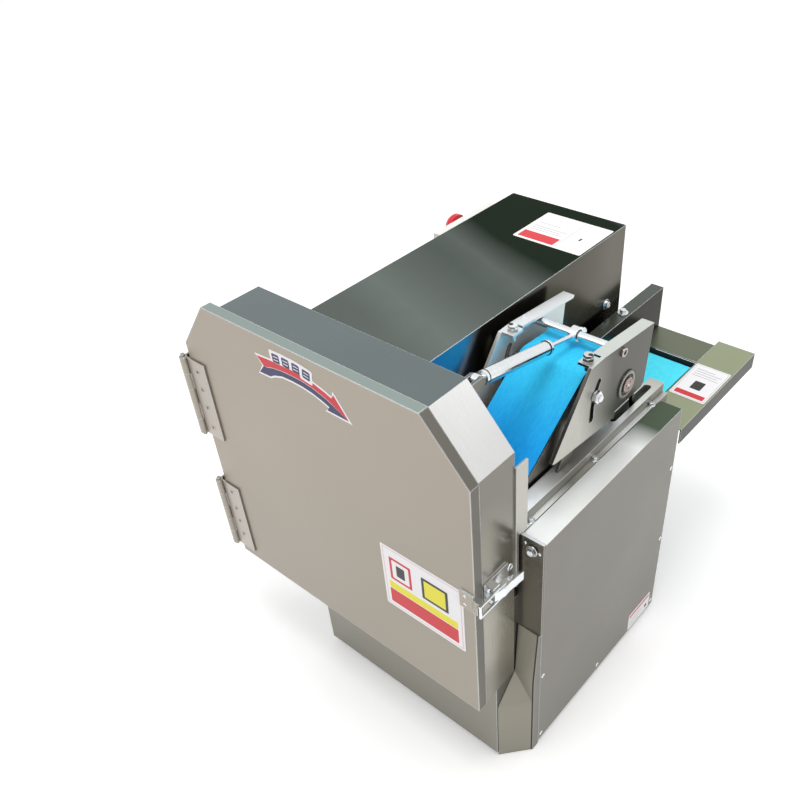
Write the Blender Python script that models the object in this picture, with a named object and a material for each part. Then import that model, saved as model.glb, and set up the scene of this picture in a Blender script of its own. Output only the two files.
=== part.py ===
"""Belt-fed leaf vegetable cutter for a kitchen or food plant, modelled piece by piece.

Run it with blender --background --python part.py, or from Blender's text editor.
Lengths are in metres. Machine frame: X to the right as seen facing the blade door, Y from the
door to the infeed table, Z up. X = 0 is the right face of the blade door, Y = 0 its front face
and Z = 0 the floor. Everything hangs on one root empty, which centres the machine over the origin.
"""

import math

import bmesh
import bpy
from mathutils import Matrix, Vector

for old in list(bpy.data.objects):
    bpy.data.objects.remove(old)

# Clearances
SEAT = 0.0003            # between two pieces that rest on each other or run in each other
RUN = 0.001              # between a piece that turns and the wall beside it
SHEET = 0.002            # thickness of the folded stainless sheet
THIN_SHEET = 0.0015      # thickness of the door's and the cover's sheet

# Blade housing and its door, seen from the front
DOOR_WIDTH = 0.477
DOOR_BOTTOM = 0.165
DOOR_TOP = 0.627
CHAMFER_WIDTH = 0.0637   # width of the two cut-off top corners of the door
CHAMFER_LEFT_WIDTH = 0.0587
CHAMFER_DROP = 0.072     # their height
DOOR_FLANGE = 0.015      # depth of the flange that wraps the housing
DOOR_GAP = 0.001         # between that flange and the housing
DOOR_SIDE_GAP = 0.0115   # the same at the hinge side, where the flange swings inwards
HOUSING_FRONT = 0.006
HOUSING_REAR = 0.079
DISCHARGE_DEPTH = 0.038  # the housing's floor is open from its front edge back to here

# Lower frame
BASE_LEFT = -0.345
BASE_RIGHT = -0.003
BASE_FRONT = 0.040
BASE_REAR = 0.455
BASE_BOTTOM = 0.008
TOWER_LEFT = -0.166
TOWER_RIGHT = -0.004
TOWER_TOP = 0.312
CORNER_PLATE = 0.045     # side of the plates that the feet are screwed to
FOOT_RADIUS = 0.014
FOOT_STEM = 0.004
COVER_FOOT_X = 0.012     # the right feet stand under the side cover
CROSSBAR = 0.010

# Motor box on the left
BOX_LEFT = -0.377
BOX_RIGHT = -0.1684
BOX_REAR = 0.580
BOX_TOP = 0.5736

# Feed conveyor
CHANNEL_LEFT = -0.1348
CHANNEL_RIGHT = -0.0336
BELT_TOP = 0.369
BELT_THICK = 0.002
BELT_SIDE_GAP = 0.0015
DRIVE_Y = 0.112
ROLLER_RADIUS = 0.022
AXLE_RADIUS = 0.008
GUIDE_FRONT = 0.088
GUIDE_TOP = 0.442
GUIDE_OUTER = -0.1564
RAIL_TOP = 0.417
RAIL_FRONT = 0.093
RAIL_REAR = 0.444
RAIL_WIDTH = 0.0176
BAR_RIGHT = -0.004
TABLE_RIGHT = 0.0283
TABLE_FRONT = 0.436
TABLE_REAR = 0.6765
TABLE_OVERHANG = 0.0145  # from the guide's rear end to the table's rear edge
TABLE_LIP = 0.026
GUIDE_REAR = TABLE_REAR - TABLE_OVERHANG
TAIL_INSET = 0.087       # from the guide's rear end to the tail roller's axis
TAIL_Y = GUIDE_REAR - TAIL_INSET

# Side cover and the plate in front of it
COVER_LEFT = -0.002
COVER_RIGHT = 0.031
COVER_FRONT = 0.093
COVER_REAR = 0.421
COVER_TOP = 0.417
PLATE_BOTTOM = 0.257
PLATE_TOP = 0.423
PLATE_LEFT = -0.004
PLATE_RIGHT = 0.033
PLATE_THICK = 0.0045

# Feed mouth at the back of the housing
MOUTH_TOP = 0.460
MOUTH_PLATE = 0.005
WING_DEPTH = 0.022
WING_BOTTOM = 0.424
WING_TOP = 0.531

# Press conveyor above the belt, which swings on its rear shaft
PIVOT = (0.336, 0.489)          # Y and Z of the shaft
TOP_ROLL = (0.276, 0.513)
NOSE_ROLL = (0.122, 0.408)
DRUM_RADIUS = 0.040
TOP_RADIUS = 0.020
NOSE_RADIUS = 0.016
PRESS_SHAFT = 0.010
PRESS_AXLE = 0.006
PLATE_OUT = 0.0702              # from the channel's middle to a side plate's outer face
PRESS_PLATE = 0.005
PRESS_FLANGE = 0.018
PRESS_TIP = (0.171, 0.465)
BEARING_RADIUS = 0.021
SLOT_RADIUS = 0.082
SLOT_WIDTH = 0.010
SLOT_FROM = 144.4               # degrees round the shaft
SLOT_TO = 188.4
GUIDE_BOLT_AT = 160.8
GUIDE_BOLT_RADIUS = 0.004
CROSS_ROD = (0.320, 0.5475)
CROSS_ROD_RADIUS = 0.006
INNER_PLATE = 0.004

# Sprung strut between the housing and the cross rod
LUG_DROP = 0.036                # from the housing's top down to the lug's pin
LUG = (0.117, DOOR_TOP - LUG_DROP)
LUG_PIN = 0.004
STRUT_RADIUS = 0.009
STRUT_TUBE_END = 0.143
STRUT_ROD_RADIUS = 0.0032
STRUT_EYE_GAP = 0.002

# Rotor
ROTOR_X = -0.238
ROTOR_Z = 0.403
ROTOR_RADIUS = 0.203
KNIFE_SHAFT = 0.015
KNIFE_BACK = HOUSING_REAR - SHEET - RUN
KNIFE_THICK = 0.003
HOLDER_THICK = 0.0107
HUB_THICK = 0.0167
HUB_RADIUS = 0.052
HOLDER_ARM = [(0.040, 0.92), (0.110, 0.50), (0.168, -0.12), (0.168, -0.36), (0.110, 0.04), (0.040, -0.25)]
KNIFE_COUNT = 2
NUT_LENGTH = 0.010
BEARING_LENGTH = 0.126          # the bearing's housing, behind the blade housing
PULLEY_GAP = 0.017
PULLEY_WIDTH = 0.020
BEARING_END = HOUSING_REAR + BEARING_LENGTH
PULLEY_Y = (BEARING_END + PULLEY_GAP, BEARING_END + PULLEY_GAP + PULLEY_WIDTH)
KNIFE_PULLEY = 0.065
MOTOR_PULLEY = 0.035
MOTOR_Z = 0.118
MOTOR_RADIUS = 0.068
MOTOR_LENGTH = 0.167
MOTOR_Y = (PULLEY_Y[1] + 0.016, PULLEY_Y[1] + 0.016 + MOTOR_LENGTH)
MOTOR_SHAFT = 0.012
MOTOR_FAN = 0.020               # length of the motor's fan cover
MOTOR_FOOT = 0.058              # half the width of the motor's foot
MOTOR_WAY = (BEARING_END, MOTOR_Y[1] + MOTOR_FAN)
BAR_Z = 0.020                   # the two bars that carry the motor
BAR_WIDTH = 0.025

# Feed drive inside the frame and the side cover
GEAR_TEETH = 24
GEAR_MODULE = 0.0025
GEARBOX = 0.045                # half the length of the feed drive's gearbox
FEED_MOTOR = (0.036, 0.130)    # radius and length of its motor
JACK = (0.383, 0.344)          # Y and Z of the reversing shaft
CHAIN_SLOT = (0.325, 0.427)
PRESS_SPROCKET = 0.026         # tip radii and teeth of the three kinds of sprocket
PRESS_TEETH = 15
JACK_SPROCKET = 0.0143
JACK_TEETH = 8
FEED_SPROCKET = 0.016
FEED_TEETH = 11
TOOTH_DEPTH = 0.004
SPROCKET_THICK = 0.005
CHAIN_THICK = 0.004
CHAIN_WIDTH = 0.006

# Door hinges on the left and latch on the right
HINGE_GAP = 0.010                # from the door's left edge to the hinge pins
HINGE_X = -DOOR_WIDTH - HINGE_GAP
HINGE_Y = -0.004
HINGE_RADIUS = 0.0055
HINGE_PIN = 0.003
LEAF_THICK = 0.0025
LEAF_WIDTH = 0.042
HINGES = {"upper": (0.404, 0.531), "lower": (0.181, 0.312)}
LATCH_Z = 0.380
LATCH_PIVOT = (0.0085, 0.026)    # X and Y of the lever's pin
LATCH_HOOK = (0.0125, 0.040)     # X and Y of the bail's pin on the lever
LATCH_PIN = 0.002

# Control panel on the motor box's left side
PANEL_DEPTH = 0.020
PANEL_Y = (0.405, 0.540)
PANEL_Z = (0.465, 0.568)
STOP_AT = (0.486, 0.541)
BUTTONS = {"start_button": (0.435, 0.546), "stop_button": (0.435, 0.512)}
KNOB_AT = (0.500, 0.492)

MIDDLE = 0.5 * (CHANNEL_LEFT + CHANNEL_RIGHT)
ROLLER_Z = BELT_TOP - BELT_THICK - ROLLER_RADIUS
HALF_ROLL = 0.5 * (CHANNEL_RIGHT - CHANNEL_LEFT) - 0.0033
PRESS_INNER = HALF_ROLL - 0.004
LEFT_END = HINGE_X - HINGE_RADIUS
FRONT_END = HINGE_Y - HINGE_RADIUS
HOUSING_RIGHT = -THIN_SHEET - DOOR_GAP
BASE_TOP = DOOR_BOTTOM - SHEET
HOUSING_FLOOR = BASE_TOP + SEAT
BEHIND_HOUSING = HOUSING_REAR + SEAT
ON_TOWER = TOWER_TOP + SEAT
RAIL_RIGHT = CHANNEL_RIGHT + RAIL_WIDTH
RAIL_WEB = 0.0025
OUTPUT = (JACK[0], JACK[1] - GEAR_TEETH * GEAR_MODULE)
PRESS_CHAIN_X = CHANNEL_RIGHT + 0.0081
FEED_CHAIN_X = 0.5 * (CHANNEL_LEFT + GUIDE_OUTER)
GEAR_X = (0.001, 0.007)
HOLDER_BACK = KNIFE_BACK - KNIFE_THICK - SEAT
HUB_FRONT = HOLDER_BACK - HUB_THICK
AXES = {"x": (1, 2, 0), "y": (0, 2, 1), "z": (0, 1, 2)}


def material(name, colour, metallic, roughness):
    """A plain Principled surface."""
    made = bpy.data.materials.new(name)
    made.use_nodes = True
    shader = made.node_tree.nodes["Principled BSDF"]
    shader.inputs["Base Color"].default_value = (*colour, 1.0)
    shader.inputs["Metallic"].default_value = metallic
    shader.inputs["Roughness"].default_value = roughness
    made.diffuse_color = (*colour, 1.0)
    return made


BRUSHED = material("brushed stainless", (0.56, 0.55, 0.51), 1.0, 0.38)
POLISHED = material("polished stainless", (0.66, 0.66, 0.63), 1.0, 0.18)
BRIGHT = material("bright steel", (0.75, 0.75, 0.74), 1.0, 0.14)
STEEL = material("turned steel", (0.50, 0.49, 0.47), 1.0, 0.35)
BELTING = material("blue belt", (0.03, 0.34, 0.80), 0.0, 0.55)
RUBBER = material("black rubber", (0.02, 0.02, 0.02), 0.0, 0.75)
CAST = material("painted casting", (0.10, 0.20, 0.28), 0.2, 0.45)
RED = material("red plastic", (0.62, 0.03, 0.03), 0.0, 0.35)
GREEN = material("green plastic", (0.03, 0.40, 0.10), 0.0, 0.35)
BLACK = material("black plastic", (0.03, 0.03, 0.03), 0.0, 0.40)
PALE = material("panel paint", (0.70, 0.70, 0.68), 0.0, 0.45)

# Where each body's frame stands in the machine frame
PLACES = {}


def body(name, place, parent=None, turn=0.0):
    """An empty on a body's joint, turned about X by turn; pieces of the body hang on it."""
    made = bpy.data.objects.new(name, None)
    bpy.context.collection.objects.link(made)
    made.parent = parent
    made.location = Vector(place) - (PLACES[parent.name] if parent else Vector())
    made.rotation_euler.x = turn
    PLACES[name] = Vector(place) if parent else Vector()
    return made


ROOT = body("machine", (-0.5 * (LEFT_END + PLATE_RIGHT), -0.5 * (FRONT_END + TABLE_REAR), 0))


def solid(name, verts, faces):
    """A mesh object from corners and faces, its normals turned outwards."""
    bm = bmesh.new()
    corners = [bm.verts.new(v) for v in verts]
    for face in faces:
        bm.faces.new([corners[i] for i in face])
    bmesh.ops.recalc_face_normals(bm, faces=bm.faces)
    mesh = bpy.data.meshes.new(name)
    bm.to_mesh(mesh)
    bm.free()
    made = bpy.data.objects.new(name, mesh)
    bpy.context.collection.objects.link(made)
    made.parent = ROOT
    return made


def corner(axis, point, along):
    """A point given in the two axes other than axis, and along it."""
    a, b, c = AXES[axis]
    place = [0.0, 0.0, 0.0]
    place[a], place[b], place[c] = point[0], point[1], along
    return place


def prism(name, outline, axis, span):
    """The outline, in the two other axes, pushed along axis from span[0] to span[1]."""
    verts = [corner(axis, point, end) for end in span for point in outline]
    n = len(outline)
    faces = [list(range(n)), list(range(2 * n - 1, n - 1, -1))]
    faces += [[i, (i + 1) % n, n + (i + 1) % n, n + i] for i in range(n)]
    return solid(name, verts, faces)


def block(name, x, y, z):
    """A box between the given limits."""
    return prism(name, [(x[0], y[0]), (x[1], y[0]), (x[1], y[1]), (x[0], y[1])], "z", z)


def circle(centre, radius, sides, start=0.0):
    """Points round a circle."""
    angles = [math.radians(start) + 2 * math.pi * i / sides for i in range(sides)]
    return [(centre[0] + radius * math.cos(t), centre[1] + radius * math.sin(t)) for t in angles]


def rod(name, axis, centre, radius, span, sides=24, start=0.0):
    """A round or many-sided bar along axis."""
    return prism(name, circle(centre, radius, sides, start), axis, span)


def ringed(name, rings, axis, spans):
    """Closed loops of outline points, each at its own place along axis, joined in a ring."""
    verts = [corner(axis, point, along) for ring, along in zip(rings, spans) for point in ring]
    n = len(rings[0])
    faces = []
    for ring in range(len(rings)):
        after = (ring + 1) % len(rings)
        for i in range(n):
            j = (i + 1) % n
            faces.append([ring * n + i, ring * n + j, after * n + j, after * n + i])
    return solid(name, verts, faces)


def turned(name, axis, centre, profile, sides=32):
    """A closed profile of (radius, position) points turned about axis, so it has a bore."""
    rings = [circle(centre, radius, sides) for radius, along in profile]
    return ringed(name, rings, axis, [along for radius, along in profile])


def ring(name, axis, centre, inner, outer, span, sides=32):
    """A plain tube or washer."""
    profile = [(inner, span[0]), (outer, span[0]), (outer, span[1]), (inner, span[1])]
    return turned(name, axis, centre, profile, sides)


def pulled(circles, grow=0.0, steps=10):
    """The outline of a belt pulled round circles (a, b, radius), listed anticlockwise."""
    normals = []
    for i, (a, b, radius) in enumerate(circles):
        to_a, to_b, to_radius = circles[(i + 1) % len(circles)]
        run = math.hypot(to_a - a, to_b - b)
        heading = math.atan2(to_b - b, to_a - a)
        normals.append(heading - math.pi / 2 + math.asin((radius - to_radius) / run))
    outline = []
    for i, (a, b, radius) in enumerate(circles):
        turn = (normals[i] - normals[i - 1]) % (2 * math.pi)
        for j in range(steps + 1):
            t = normals[i - 1] + turn * j / steps
            outline.append((a + (radius + grow) * math.cos(t), b + (radius + grow) * math.sin(t)))
    return outline


def band(name, axis, circles, inner, outer, inner_span, outer_span, steps=10):
    """A closed belt or chain round circles, its faces grown from them by inner and outer."""
    inside, outside = pulled(circles, inner, steps), pulled(circles, outer, steps)
    spans = [inner_span[0], outer_span[0], outer_span[1], inner_span[1]]
    return ringed(name, [inside, outside, outside, inside], axis, spans)


def inset(outline, by):
    """A convex anticlockwise outline with each side moved inwards by its own distance."""
    n = len(outline)
    lines = []
    for i in range(n):
        (ax, ay), (bx, by_) = outline[i], outline[(i + 1) % n]
        length = math.hypot(bx - ax, by_ - ay)
        nx, ny = (ay - by_) / length, (bx - ax) / length
        lines.append((nx, ny, nx * ax + ny * ay + by[i]))
    moved = []
    for i in range(n):
        (a, b, c), (d, e, f) = lines[i - 1], lines[i]
        across = a * e - b * d
        moved.append(((c * e - b * f) / across, (a * f - c * d) / across))
    return moved


def toothed(centre, teeth, root, tip, start):
    """The outline of a gear or sprocket with a tooth centred at the angle start, in degrees."""
    pitch = 2 * math.pi / teeth
    outline = []
    for i in range(teeth):
        middle = math.radians(start) + i * pitch
        for radius, share in ((root, -0.30), (tip, -0.13), (tip, 0.13), (root, 0.30)):
            t = middle + share * pitch
            outline.append((centre[0] + radius * math.cos(t), centre[1] + radius * math.sin(t)))
    return outline


def toothed_wheel(name, centre, teeth, tip, middle):
    """A sprocket across X, its teeth TOOTH_DEPTH deep."""
    outline = toothed(centre, teeth, tip - TOOTH_DEPTH, tip, 0)
    return prism(name, outline, "x", (middle - 0.5 * SPROCKET_THICK, middle + 0.5 * SPROCKET_THICK))


def combine(target, operation, tools):
    """Cuts the tools from the target, or joins them to it, and hides them."""
    for tool in tools:
        step = target.modifiers.new(tool.name, "BOOLEAN")
        step.operation = operation
        step.object = tool
        tool.hide_render = True
        tool.display_type = "WIRE"
    return target


def cut(target, *tools):
    return combine(target, "DIFFERENCE", tools)


def join(target, *tools):
    return combine(target, "UNION", tools)


def finish(made, surface, frame=ROOT, local=False):
    """Gives a piece its surface, and hangs it and its tools on its body's frame."""
    made.data.materials.append(surface)
    made.data.shade_smooth()
    made.data.set_sharp_from_angle(angle=math.radians(35))
    pieces = [made] + [step.object for step in made.modifiers]
    for piece in pieces:
        if not local:
            piece.data.transform(Matrix.Translation(-PLACES[frame.name]))
        piece.parent = frame
    return made


def hollow(name, x, y, z, wall, open_sides):
    """A sheet box, its wall left out on open_sides, such as '-z'."""
    inner = []
    for axis, (low, high) in zip("xyz", (x, y, z)):
        inner.append((low - wall if "-" + axis in open_sides else low + wall,
                      high + wall if "+" + axis in open_sides else high - wall))
    return cut(block(name, x, y, z), block(name + " inside", *inner))


# Door and housing outlines, anticlockwise in X and Z: floor, right, chamfer, top, chamfer, left
DOOR_OUTLINE = [
    (-DOOR_WIDTH, DOOR_BOTTOM), (0, DOOR_BOTTOM), (0, DOOR_TOP - CHAMFER_DROP),
    (-CHAMFER_WIDTH, DOOR_TOP), (CHAMFER_LEFT_WIDTH - DOOR_WIDTH, DOOR_TOP),
    (-DOOR_WIDTH, DOOR_TOP - CHAMFER_DROP),
]
NEAR = THIN_SHEET + DOOR_GAP
FAR = THIN_SHEET + DOOR_SIDE_GAP
HOUSING_OUTLINE = inset(DOOR_OUTLINE, [HOUSING_FLOOR - DOOR_BOTTOM, NEAR, NEAR, NEAR, FAR, FAR])


def make_frame():
    """The welded cabinet: a low base, the tower under the belt, foot plates and motor bars."""
    base = block("base_frame", (BASE_LEFT, BASE_RIGHT), (BASE_FRONT, BASE_REAR), (BASE_BOTTOM, BASE_TOP))
    join(base, block("tower", (TOWER_LEFT, TOWER_RIGHT), (BEHIND_HOUSING, BASE_REAR),
                     (BASE_TOP - SHEET, TOWER_TOP)))
    cut(base, block("base inside", (BASE_LEFT + SHEET, BASE_RIGHT - SHEET),
                    (BASE_FRONT + SHEET, BASE_REAR - SHEET), (0, BASE_TOP - SHEET)),
        block("tower inside", (TOWER_LEFT + SHEET, TOWER_RIGHT - SHEET),
              (BEHIND_HOUSING + SHEET, BASE_REAR - SHEET), (BASE_TOP - 2 * SHEET, TOWER_TOP - SHEET)),
        block("motor way", (ROTOR_X - MOTOR_FOOT, ROTOR_X + MOTOR_FOOT), MOTOR_WAY,
              (BASE_TOP - 0.013, BASE_TOP + 0.007)),
        rod("output hole", "x", OUTPUT, 0.011, (-0.02, 0.01)),
        block("chain way", (FEED_CHAIN_X - 0.005, FEED_CHAIN_X + 0.005),
              (DRIVE_Y + 0.053, OUTPUT[0] - 0.015), (TOWER_TOP - 0.012, TOWER_TOP + 0.008)))
    for y in (MOTOR_Y[0] + 0.037, MOTOR_Y[1] - 0.040):
        join(base, block("motor bar", (BASE_LEFT + 0.001, BASE_RIGHT - 0.001),
                         (y, y + BAR_WIDTH), (BAR_Z, BAR_Z + CROSSBAR)))
    for side, back, x, y in feet_places():
        if side == "left":
            plate = block("foot plate", (BASE_LEFT + 0.001, BASE_LEFT + CORNER_PLATE),
                          (BASE_FRONT + 0.001, BASE_FRONT + CORNER_PLATE) if back == "front" else
                          (BASE_REAR - CORNER_PLATE, BASE_REAR - 0.001), (BASE_BOTTOM, BASE_BOTTOM + 0.003))
        else:
            plate = block("foot plate", (BASE_RIGHT - CORNER_PLATE, x + FOOT_RADIUS), (y - 0.012, y + 0.014),
                          (BASE_BOTTOM + SHEET + SEAT, BASE_BOTTOM + SHEET + SEAT + 0.003))
        join(base, plate)
        cut(base, rod("stem hole", "z", (x, y), FOOT_STEM + SEAT, (0, 0.02), 16))
    finish(base, BRUSHED)


def feet_places():
    """Side, end, X and Y of each foot; the right ones stand under the side cover."""
    inside = 0.5 * CORNER_PLATE
    return [
        ("left", "front", BASE_LEFT + inside, BASE_FRONT + inside),
        ("left", "rear", BASE_LEFT + inside, BASE_REAR - inside),
        ("right", "front", COVER_FOOT_X, COVER_FRONT + FOOT_RADIUS + SHEET),
        ("right", "rear", COVER_FOOT_X, COVER_REAR - FOOT_RADIUS - SHEET),
    ]


def make_feet():
    for side, back, x, y in feet_places():
        foot = rod(f"foot_{back}_{side}", "z", (x, y), FOOT_RADIUS, (0, BASE_BOTTOM - SEAT))
        finish(join(foot, rod("foot stem", "z", (x, y), FOOT_STEM, (0.004, 0.018), 16)), RUBBER)


def make_motor_box():
    x, y, z = (BOX_LEFT, BOX_RIGHT), (BEHIND_HOUSING, BOX_REAR), (BASE_TOP + SEAT, BOX_TOP)
    box = hollow("motor_box", x, y, z, SHEET, "-y")
    cut(box, block("motor way in box", (ROTOR_X - MOTOR_FOOT, ROTOR_X + MOTOR_FOOT), MOTOR_WAY,
                   (BASE_TOP - 0.013, BASE_TOP + 0.017)),
        rod("press shaft hole", "x", PIVOT, PRESS_SHAFT + RUN, (BOX_RIGHT - 0.012, BOX_RIGHT + 0.008)))
    finish(box, BRUSHED)


def make_housing():
    shell = prism("blade_housing", HOUSING_OUTLINE, "y", (HOUSING_FRONT, HOUSING_REAR))
    cut(shell, prism("housing inside", inset(HOUSING_OUTLINE, [SHEET] * 6), "y", (0, HOUSING_REAR - SHEET)),
        block("discharge", (HOUSING_OUTLINE[0][0] + SHEET, HOUSING_RIGHT - SHEET), (0, DISCHARGE_DEPTH),
              (HOUSING_FLOOR - 0.013, HOUSING_FLOOR + SHEET + 0.005)),
        block("mouth", (CHANNEL_LEFT, CHANNEL_RIGHT), (0.07, 0.09), (BELT_TOP + SEAT, MOUTH_TOP)),
        rod("shaft hole", "y", (ROTOR_X, ROTOR_Z), KNIFE_SHAFT + 0.004, (0.07, 0.09)))
    ear = [(HOUSING_REAR - 0.001, LUG[1] - 0.024), (LUG[0] - 0.002, LUG[1] - 0.0075),
           (LUG[0] + 0.0055, LUG[1] - 0.005), (LUG[0] + 0.0075, LUG[1]), (LUG[0] + 0.0055, LUG[1] + 0.005),
           (LUG[0], LUG[1] + 0.0075), (HOUSING_REAR - 0.001, LUG[1] + 0.0075)]
    for near, far in ((-0.0085, -0.0045), (0.0045, 0.0085)):
        join(shell, prism("lug ear", ear, "x", (MIDDLE + near, MIDDLE + far)))
    join(shell, rod("lug pin", "x", LUG, LUG_PIN, (MIDDLE - 0.008, MIDDLE + 0.008), 16))
    finish(shell, BRUSHED)


def make_mouth():
    rear = BEHIND_HOUSING + MOUTH_PLATE
    plate = block("feed_mouth", (TOWER_LEFT, 0), (BEHIND_HOUSING, rear),
                  (BELT_TOP - 0.0315, MOUTH_TOP + 0.016))
    cut(plate, block("mouth window", (CHANNEL_LEFT, CHANNEL_RIGHT), (HOUSING_REAR - 0.009, rear + 0.015),
                     (BELT_TOP + SEAT, MOUTH_TOP)))
    for x in ((TOWER_LEFT, TOWER_LEFT + 0.003), (-0.003, 0)):
        join(plate, block("wing", x, (BEHIND_HOUSING, HOUSING_REAR + WING_DEPTH), (WING_BOTTOM, WING_TOP)))
    finish(plate, BRUSHED)


def make_channel():
    """The belt's side guides, its slider bed, the tail plate and the infeed table."""
    guide = hollow("left_guide", (GUIDE_OUTER, CHANNEL_LEFT), (GUIDE_FRONT, GUIDE_REAR),
                   (ON_TOWER, GUIDE_TOP), SHEET, "-z")
    for y in (GUIDE_FRONT + 0.112, GUIDE_REAR - 0.162):
        join(guide, block("guide spacer", (BOX_RIGHT + SEAT, GUIDE_OUTER + 0.001), (y, y + 0.02),
                          (GUIDE_TOP - 0.057, GUIDE_TOP - 0.037)))
    for y in (DRIVE_Y, TAIL_Y):
        cut(guide, rod("axle hole", "x", (y, ROLLER_Z), AXLE_RADIUS + SEAT, (-0.16, -0.13)))
    finish(guide, BRUSHED)

    left, right, top = CHANNEL_RIGHT, RAIL_RIGHT, RAIL_TOP
    bar = BAR_RIGHT - 0.0085
    profile = [
        (left, ON_TOWER), (left + RAIL_WEB, ON_TOWER), (left + RAIL_WEB, top - RAIL_WEB),
        (right - RAIL_WEB, top - RAIL_WEB), (right - RAIL_WEB, ON_TOWER), (right, ON_TOWER),
        (right, top - 0.0155), (BAR_RIGHT, top - 0.0155), (BAR_RIGHT, top - 0.0015),
        (bar, top - 0.0015), (bar, top - 0.013), (right, top - 0.013), (right, top), (left, top),
    ]
    rail = prism("right_rail", profile, "y", (RAIL_FRONT, RAIL_REAR))
    slot = [(PRESS_CHAIN_X, CHAIN_SLOT[0] + 0.0055, 0.0055), (PRESS_CHAIN_X, CHAIN_SLOT[1] - 0.0055, 0.0055)]
    cut(rail, prism("rail slot", pulled(slot, 0, 6), "z", (0.405, 0.43)),
        rod("drive axle hole", "x", (DRIVE_Y, ROLLER_Z), AXLE_RADIUS + SEAT, (-0.04, -0.01)),
        rod("jack hole", "x", JACK, AXLE_RADIUS + SEAT, (-0.04, -0.01)))
    finish(rail, POLISHED)

    x = (CHANNEL_LEFT + SEAT, CHANNEL_RIGHT - SEAT)
    y = (DRIVE_Y + 0.030, TAIL_Y - 0.030)
    under = BELT_TOP - BELT_THICK - SEAT
    bed = block("belt_bed", x, y, (under - 0.0025, under))
    for near, far in ((x[0], x[0] + SHEET), (x[1] - SHEET, x[1])):
        join(bed, block("bed side", (near, far), y, (under - 0.015, under - 0.001)))
    finish(bed, STEEL)

    front = TAIL_Y + ROLLER_RADIUS + BELT_THICK + SHEET
    tail = block("tail_plate", x, (front, GUIDE_REAR), (BELT_TOP - SHEET, BELT_TOP))
    join(tail, block("tail lip", x, (GUIDE_REAR - SHEET, GUIDE_REAR),
                     (BELT_TOP - 0.034, BELT_TOP - 0.001)))
    finish(tail, BRUSHED)

    behind_rail = RAIL_REAR + SHEET
    edge = RAIL_RIGHT + SHEET
    outline = [(edge, TABLE_FRONT), (TABLE_RIGHT, TABLE_FRONT), (TABLE_RIGHT, TABLE_REAR),
               (CHANNEL_RIGHT, TABLE_REAR), (CHANNEL_RIGHT, behind_rail), (edge, behind_rail)]
    table = prism("feed_table", outline, "z", (BELT_TOP - SHEET, BELT_TOP))
    lip = (BELT_TOP - TABLE_LIP, BELT_TOP - 0.0005)
    join(table, block("outer lip", (TABLE_RIGHT - SHEET, TABLE_RIGHT), (TABLE_FRONT, TABLE_REAR), lip),
         block("rear lip", (CHANNEL_RIGHT, TABLE_RIGHT - 0.0005), (TABLE_REAR - SHEET, TABLE_REAR), lip),
         block("inner lip", (CHANNEL_RIGHT, CHANNEL_RIGHT + SHEET), (behind_rail, TABLE_REAR - 0.0005),
               (BELT_TOP - 0.044, BELT_TOP - 0.0005)))
    reach = TAIL_Y - 0.007
    gusset = [(BASE_REAR + SEAT, TOWER_TOP - TABLE_LIP), (reach, BELT_TOP - TABLE_LIP),
              (reach, BELT_TOP - 0.0005), (BASE_REAR + SEAT, BELT_TOP - 0.0005)]
    join(table, prism("gusset", gusset, "x", (-0.028, -0.024)))
    cut(table, rod("tail axle hole", "x", (TAIL_Y, ROLLER_Z), AXLE_RADIUS + SEAT, (-0.04, -0.03)))
    finish(table, BRUSHED)


def make_cover():
    cover = hollow("side_cover", (COVER_LEFT, COVER_RIGHT), (COVER_FRONT, COVER_REAR),
                   (BASE_BOTTOM, COVER_TOP), SHEET, "-x")
    for side, back, x, y in feet_places():
        if side == "right":
            cut(cover, rod("stem way", "z", (x, y), FOOT_STEM + SEAT, (0, 0.012), 16))
    finish(cover, BRUSHED)
    front = COVER_FRONT - SEAT
    plate = block("front_plate", (PLATE_LEFT, PLATE_RIGHT), (front - PLATE_THICK, front),
                  (PLATE_BOTTOM, PLATE_TOP))
    bolt = (0.5 * (PLATE_LEFT + PLATE_RIGHT) + 0.003, PLATE_TOP - 0.016)
    join(plate, rod("plate bolt", "y", bolt, 0.006, (front - PLATE_THICK - 0.005, front - 0.001), 6))
    finish(plate, BRUSHED)


def make_conveyor():
    drive = body("drive_roller_axis", (MIDDLE, DRIVE_Y, ROLLER_Z), ROOT)
    inner = (CHANNEL_LEFT + 0.003, CHANNEL_RIGHT - 0.003)
    at = (DRIVE_Y, ROLLER_Z)
    roller = rod("drive_roller", "x", at, ROLLER_RADIUS, inner, 32)
    join(roller, rod("drive axle", "x", at, AXLE_RADIUS, (GUIDE_OUTER + 0.0005, RAIL_RIGHT - 0.0005)))
    finish(roller, STEEL, drive)
    sprocket = toothed_wheel("roller_sprocket", at, FEED_TEETH, FEED_SPROCKET, FEED_CHAIN_X)
    finish(cut(sprocket, rod("sprocket bore", "x", at, AXLE_RADIUS + SEAT, (-0.17, -0.12))), STEEL, drive)

    tail = body("tail_roller_axis", (MIDDLE, TAIL_Y, ROLLER_Z), ROOT)
    at = (TAIL_Y, ROLLER_Z)
    roller = rod("tail_roller", "x", at, ROLLER_RADIUS, inner, 32)
    ends = (GUIDE_OUTER + 0.0005, CHANNEL_RIGHT + SHEET + 0.0015)
    join(roller, rod("tail axle", "x", at, AXLE_RADIUS, ends))
    finish(roller, STEEL, tail)

    circles = [(DRIVE_Y, ROLLER_Z, ROLLER_RADIUS), (TAIL_Y, ROLLER_Z, ROLLER_RADIUS)]
    span = (CHANNEL_LEFT + BELT_SIDE_GAP, CHANNEL_RIGHT - BELT_SIDE_GAP)
    finish(band("conveyor_belt", "x", circles, SEAT, BELT_THICK, span, span, 16), BELTING)


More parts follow.
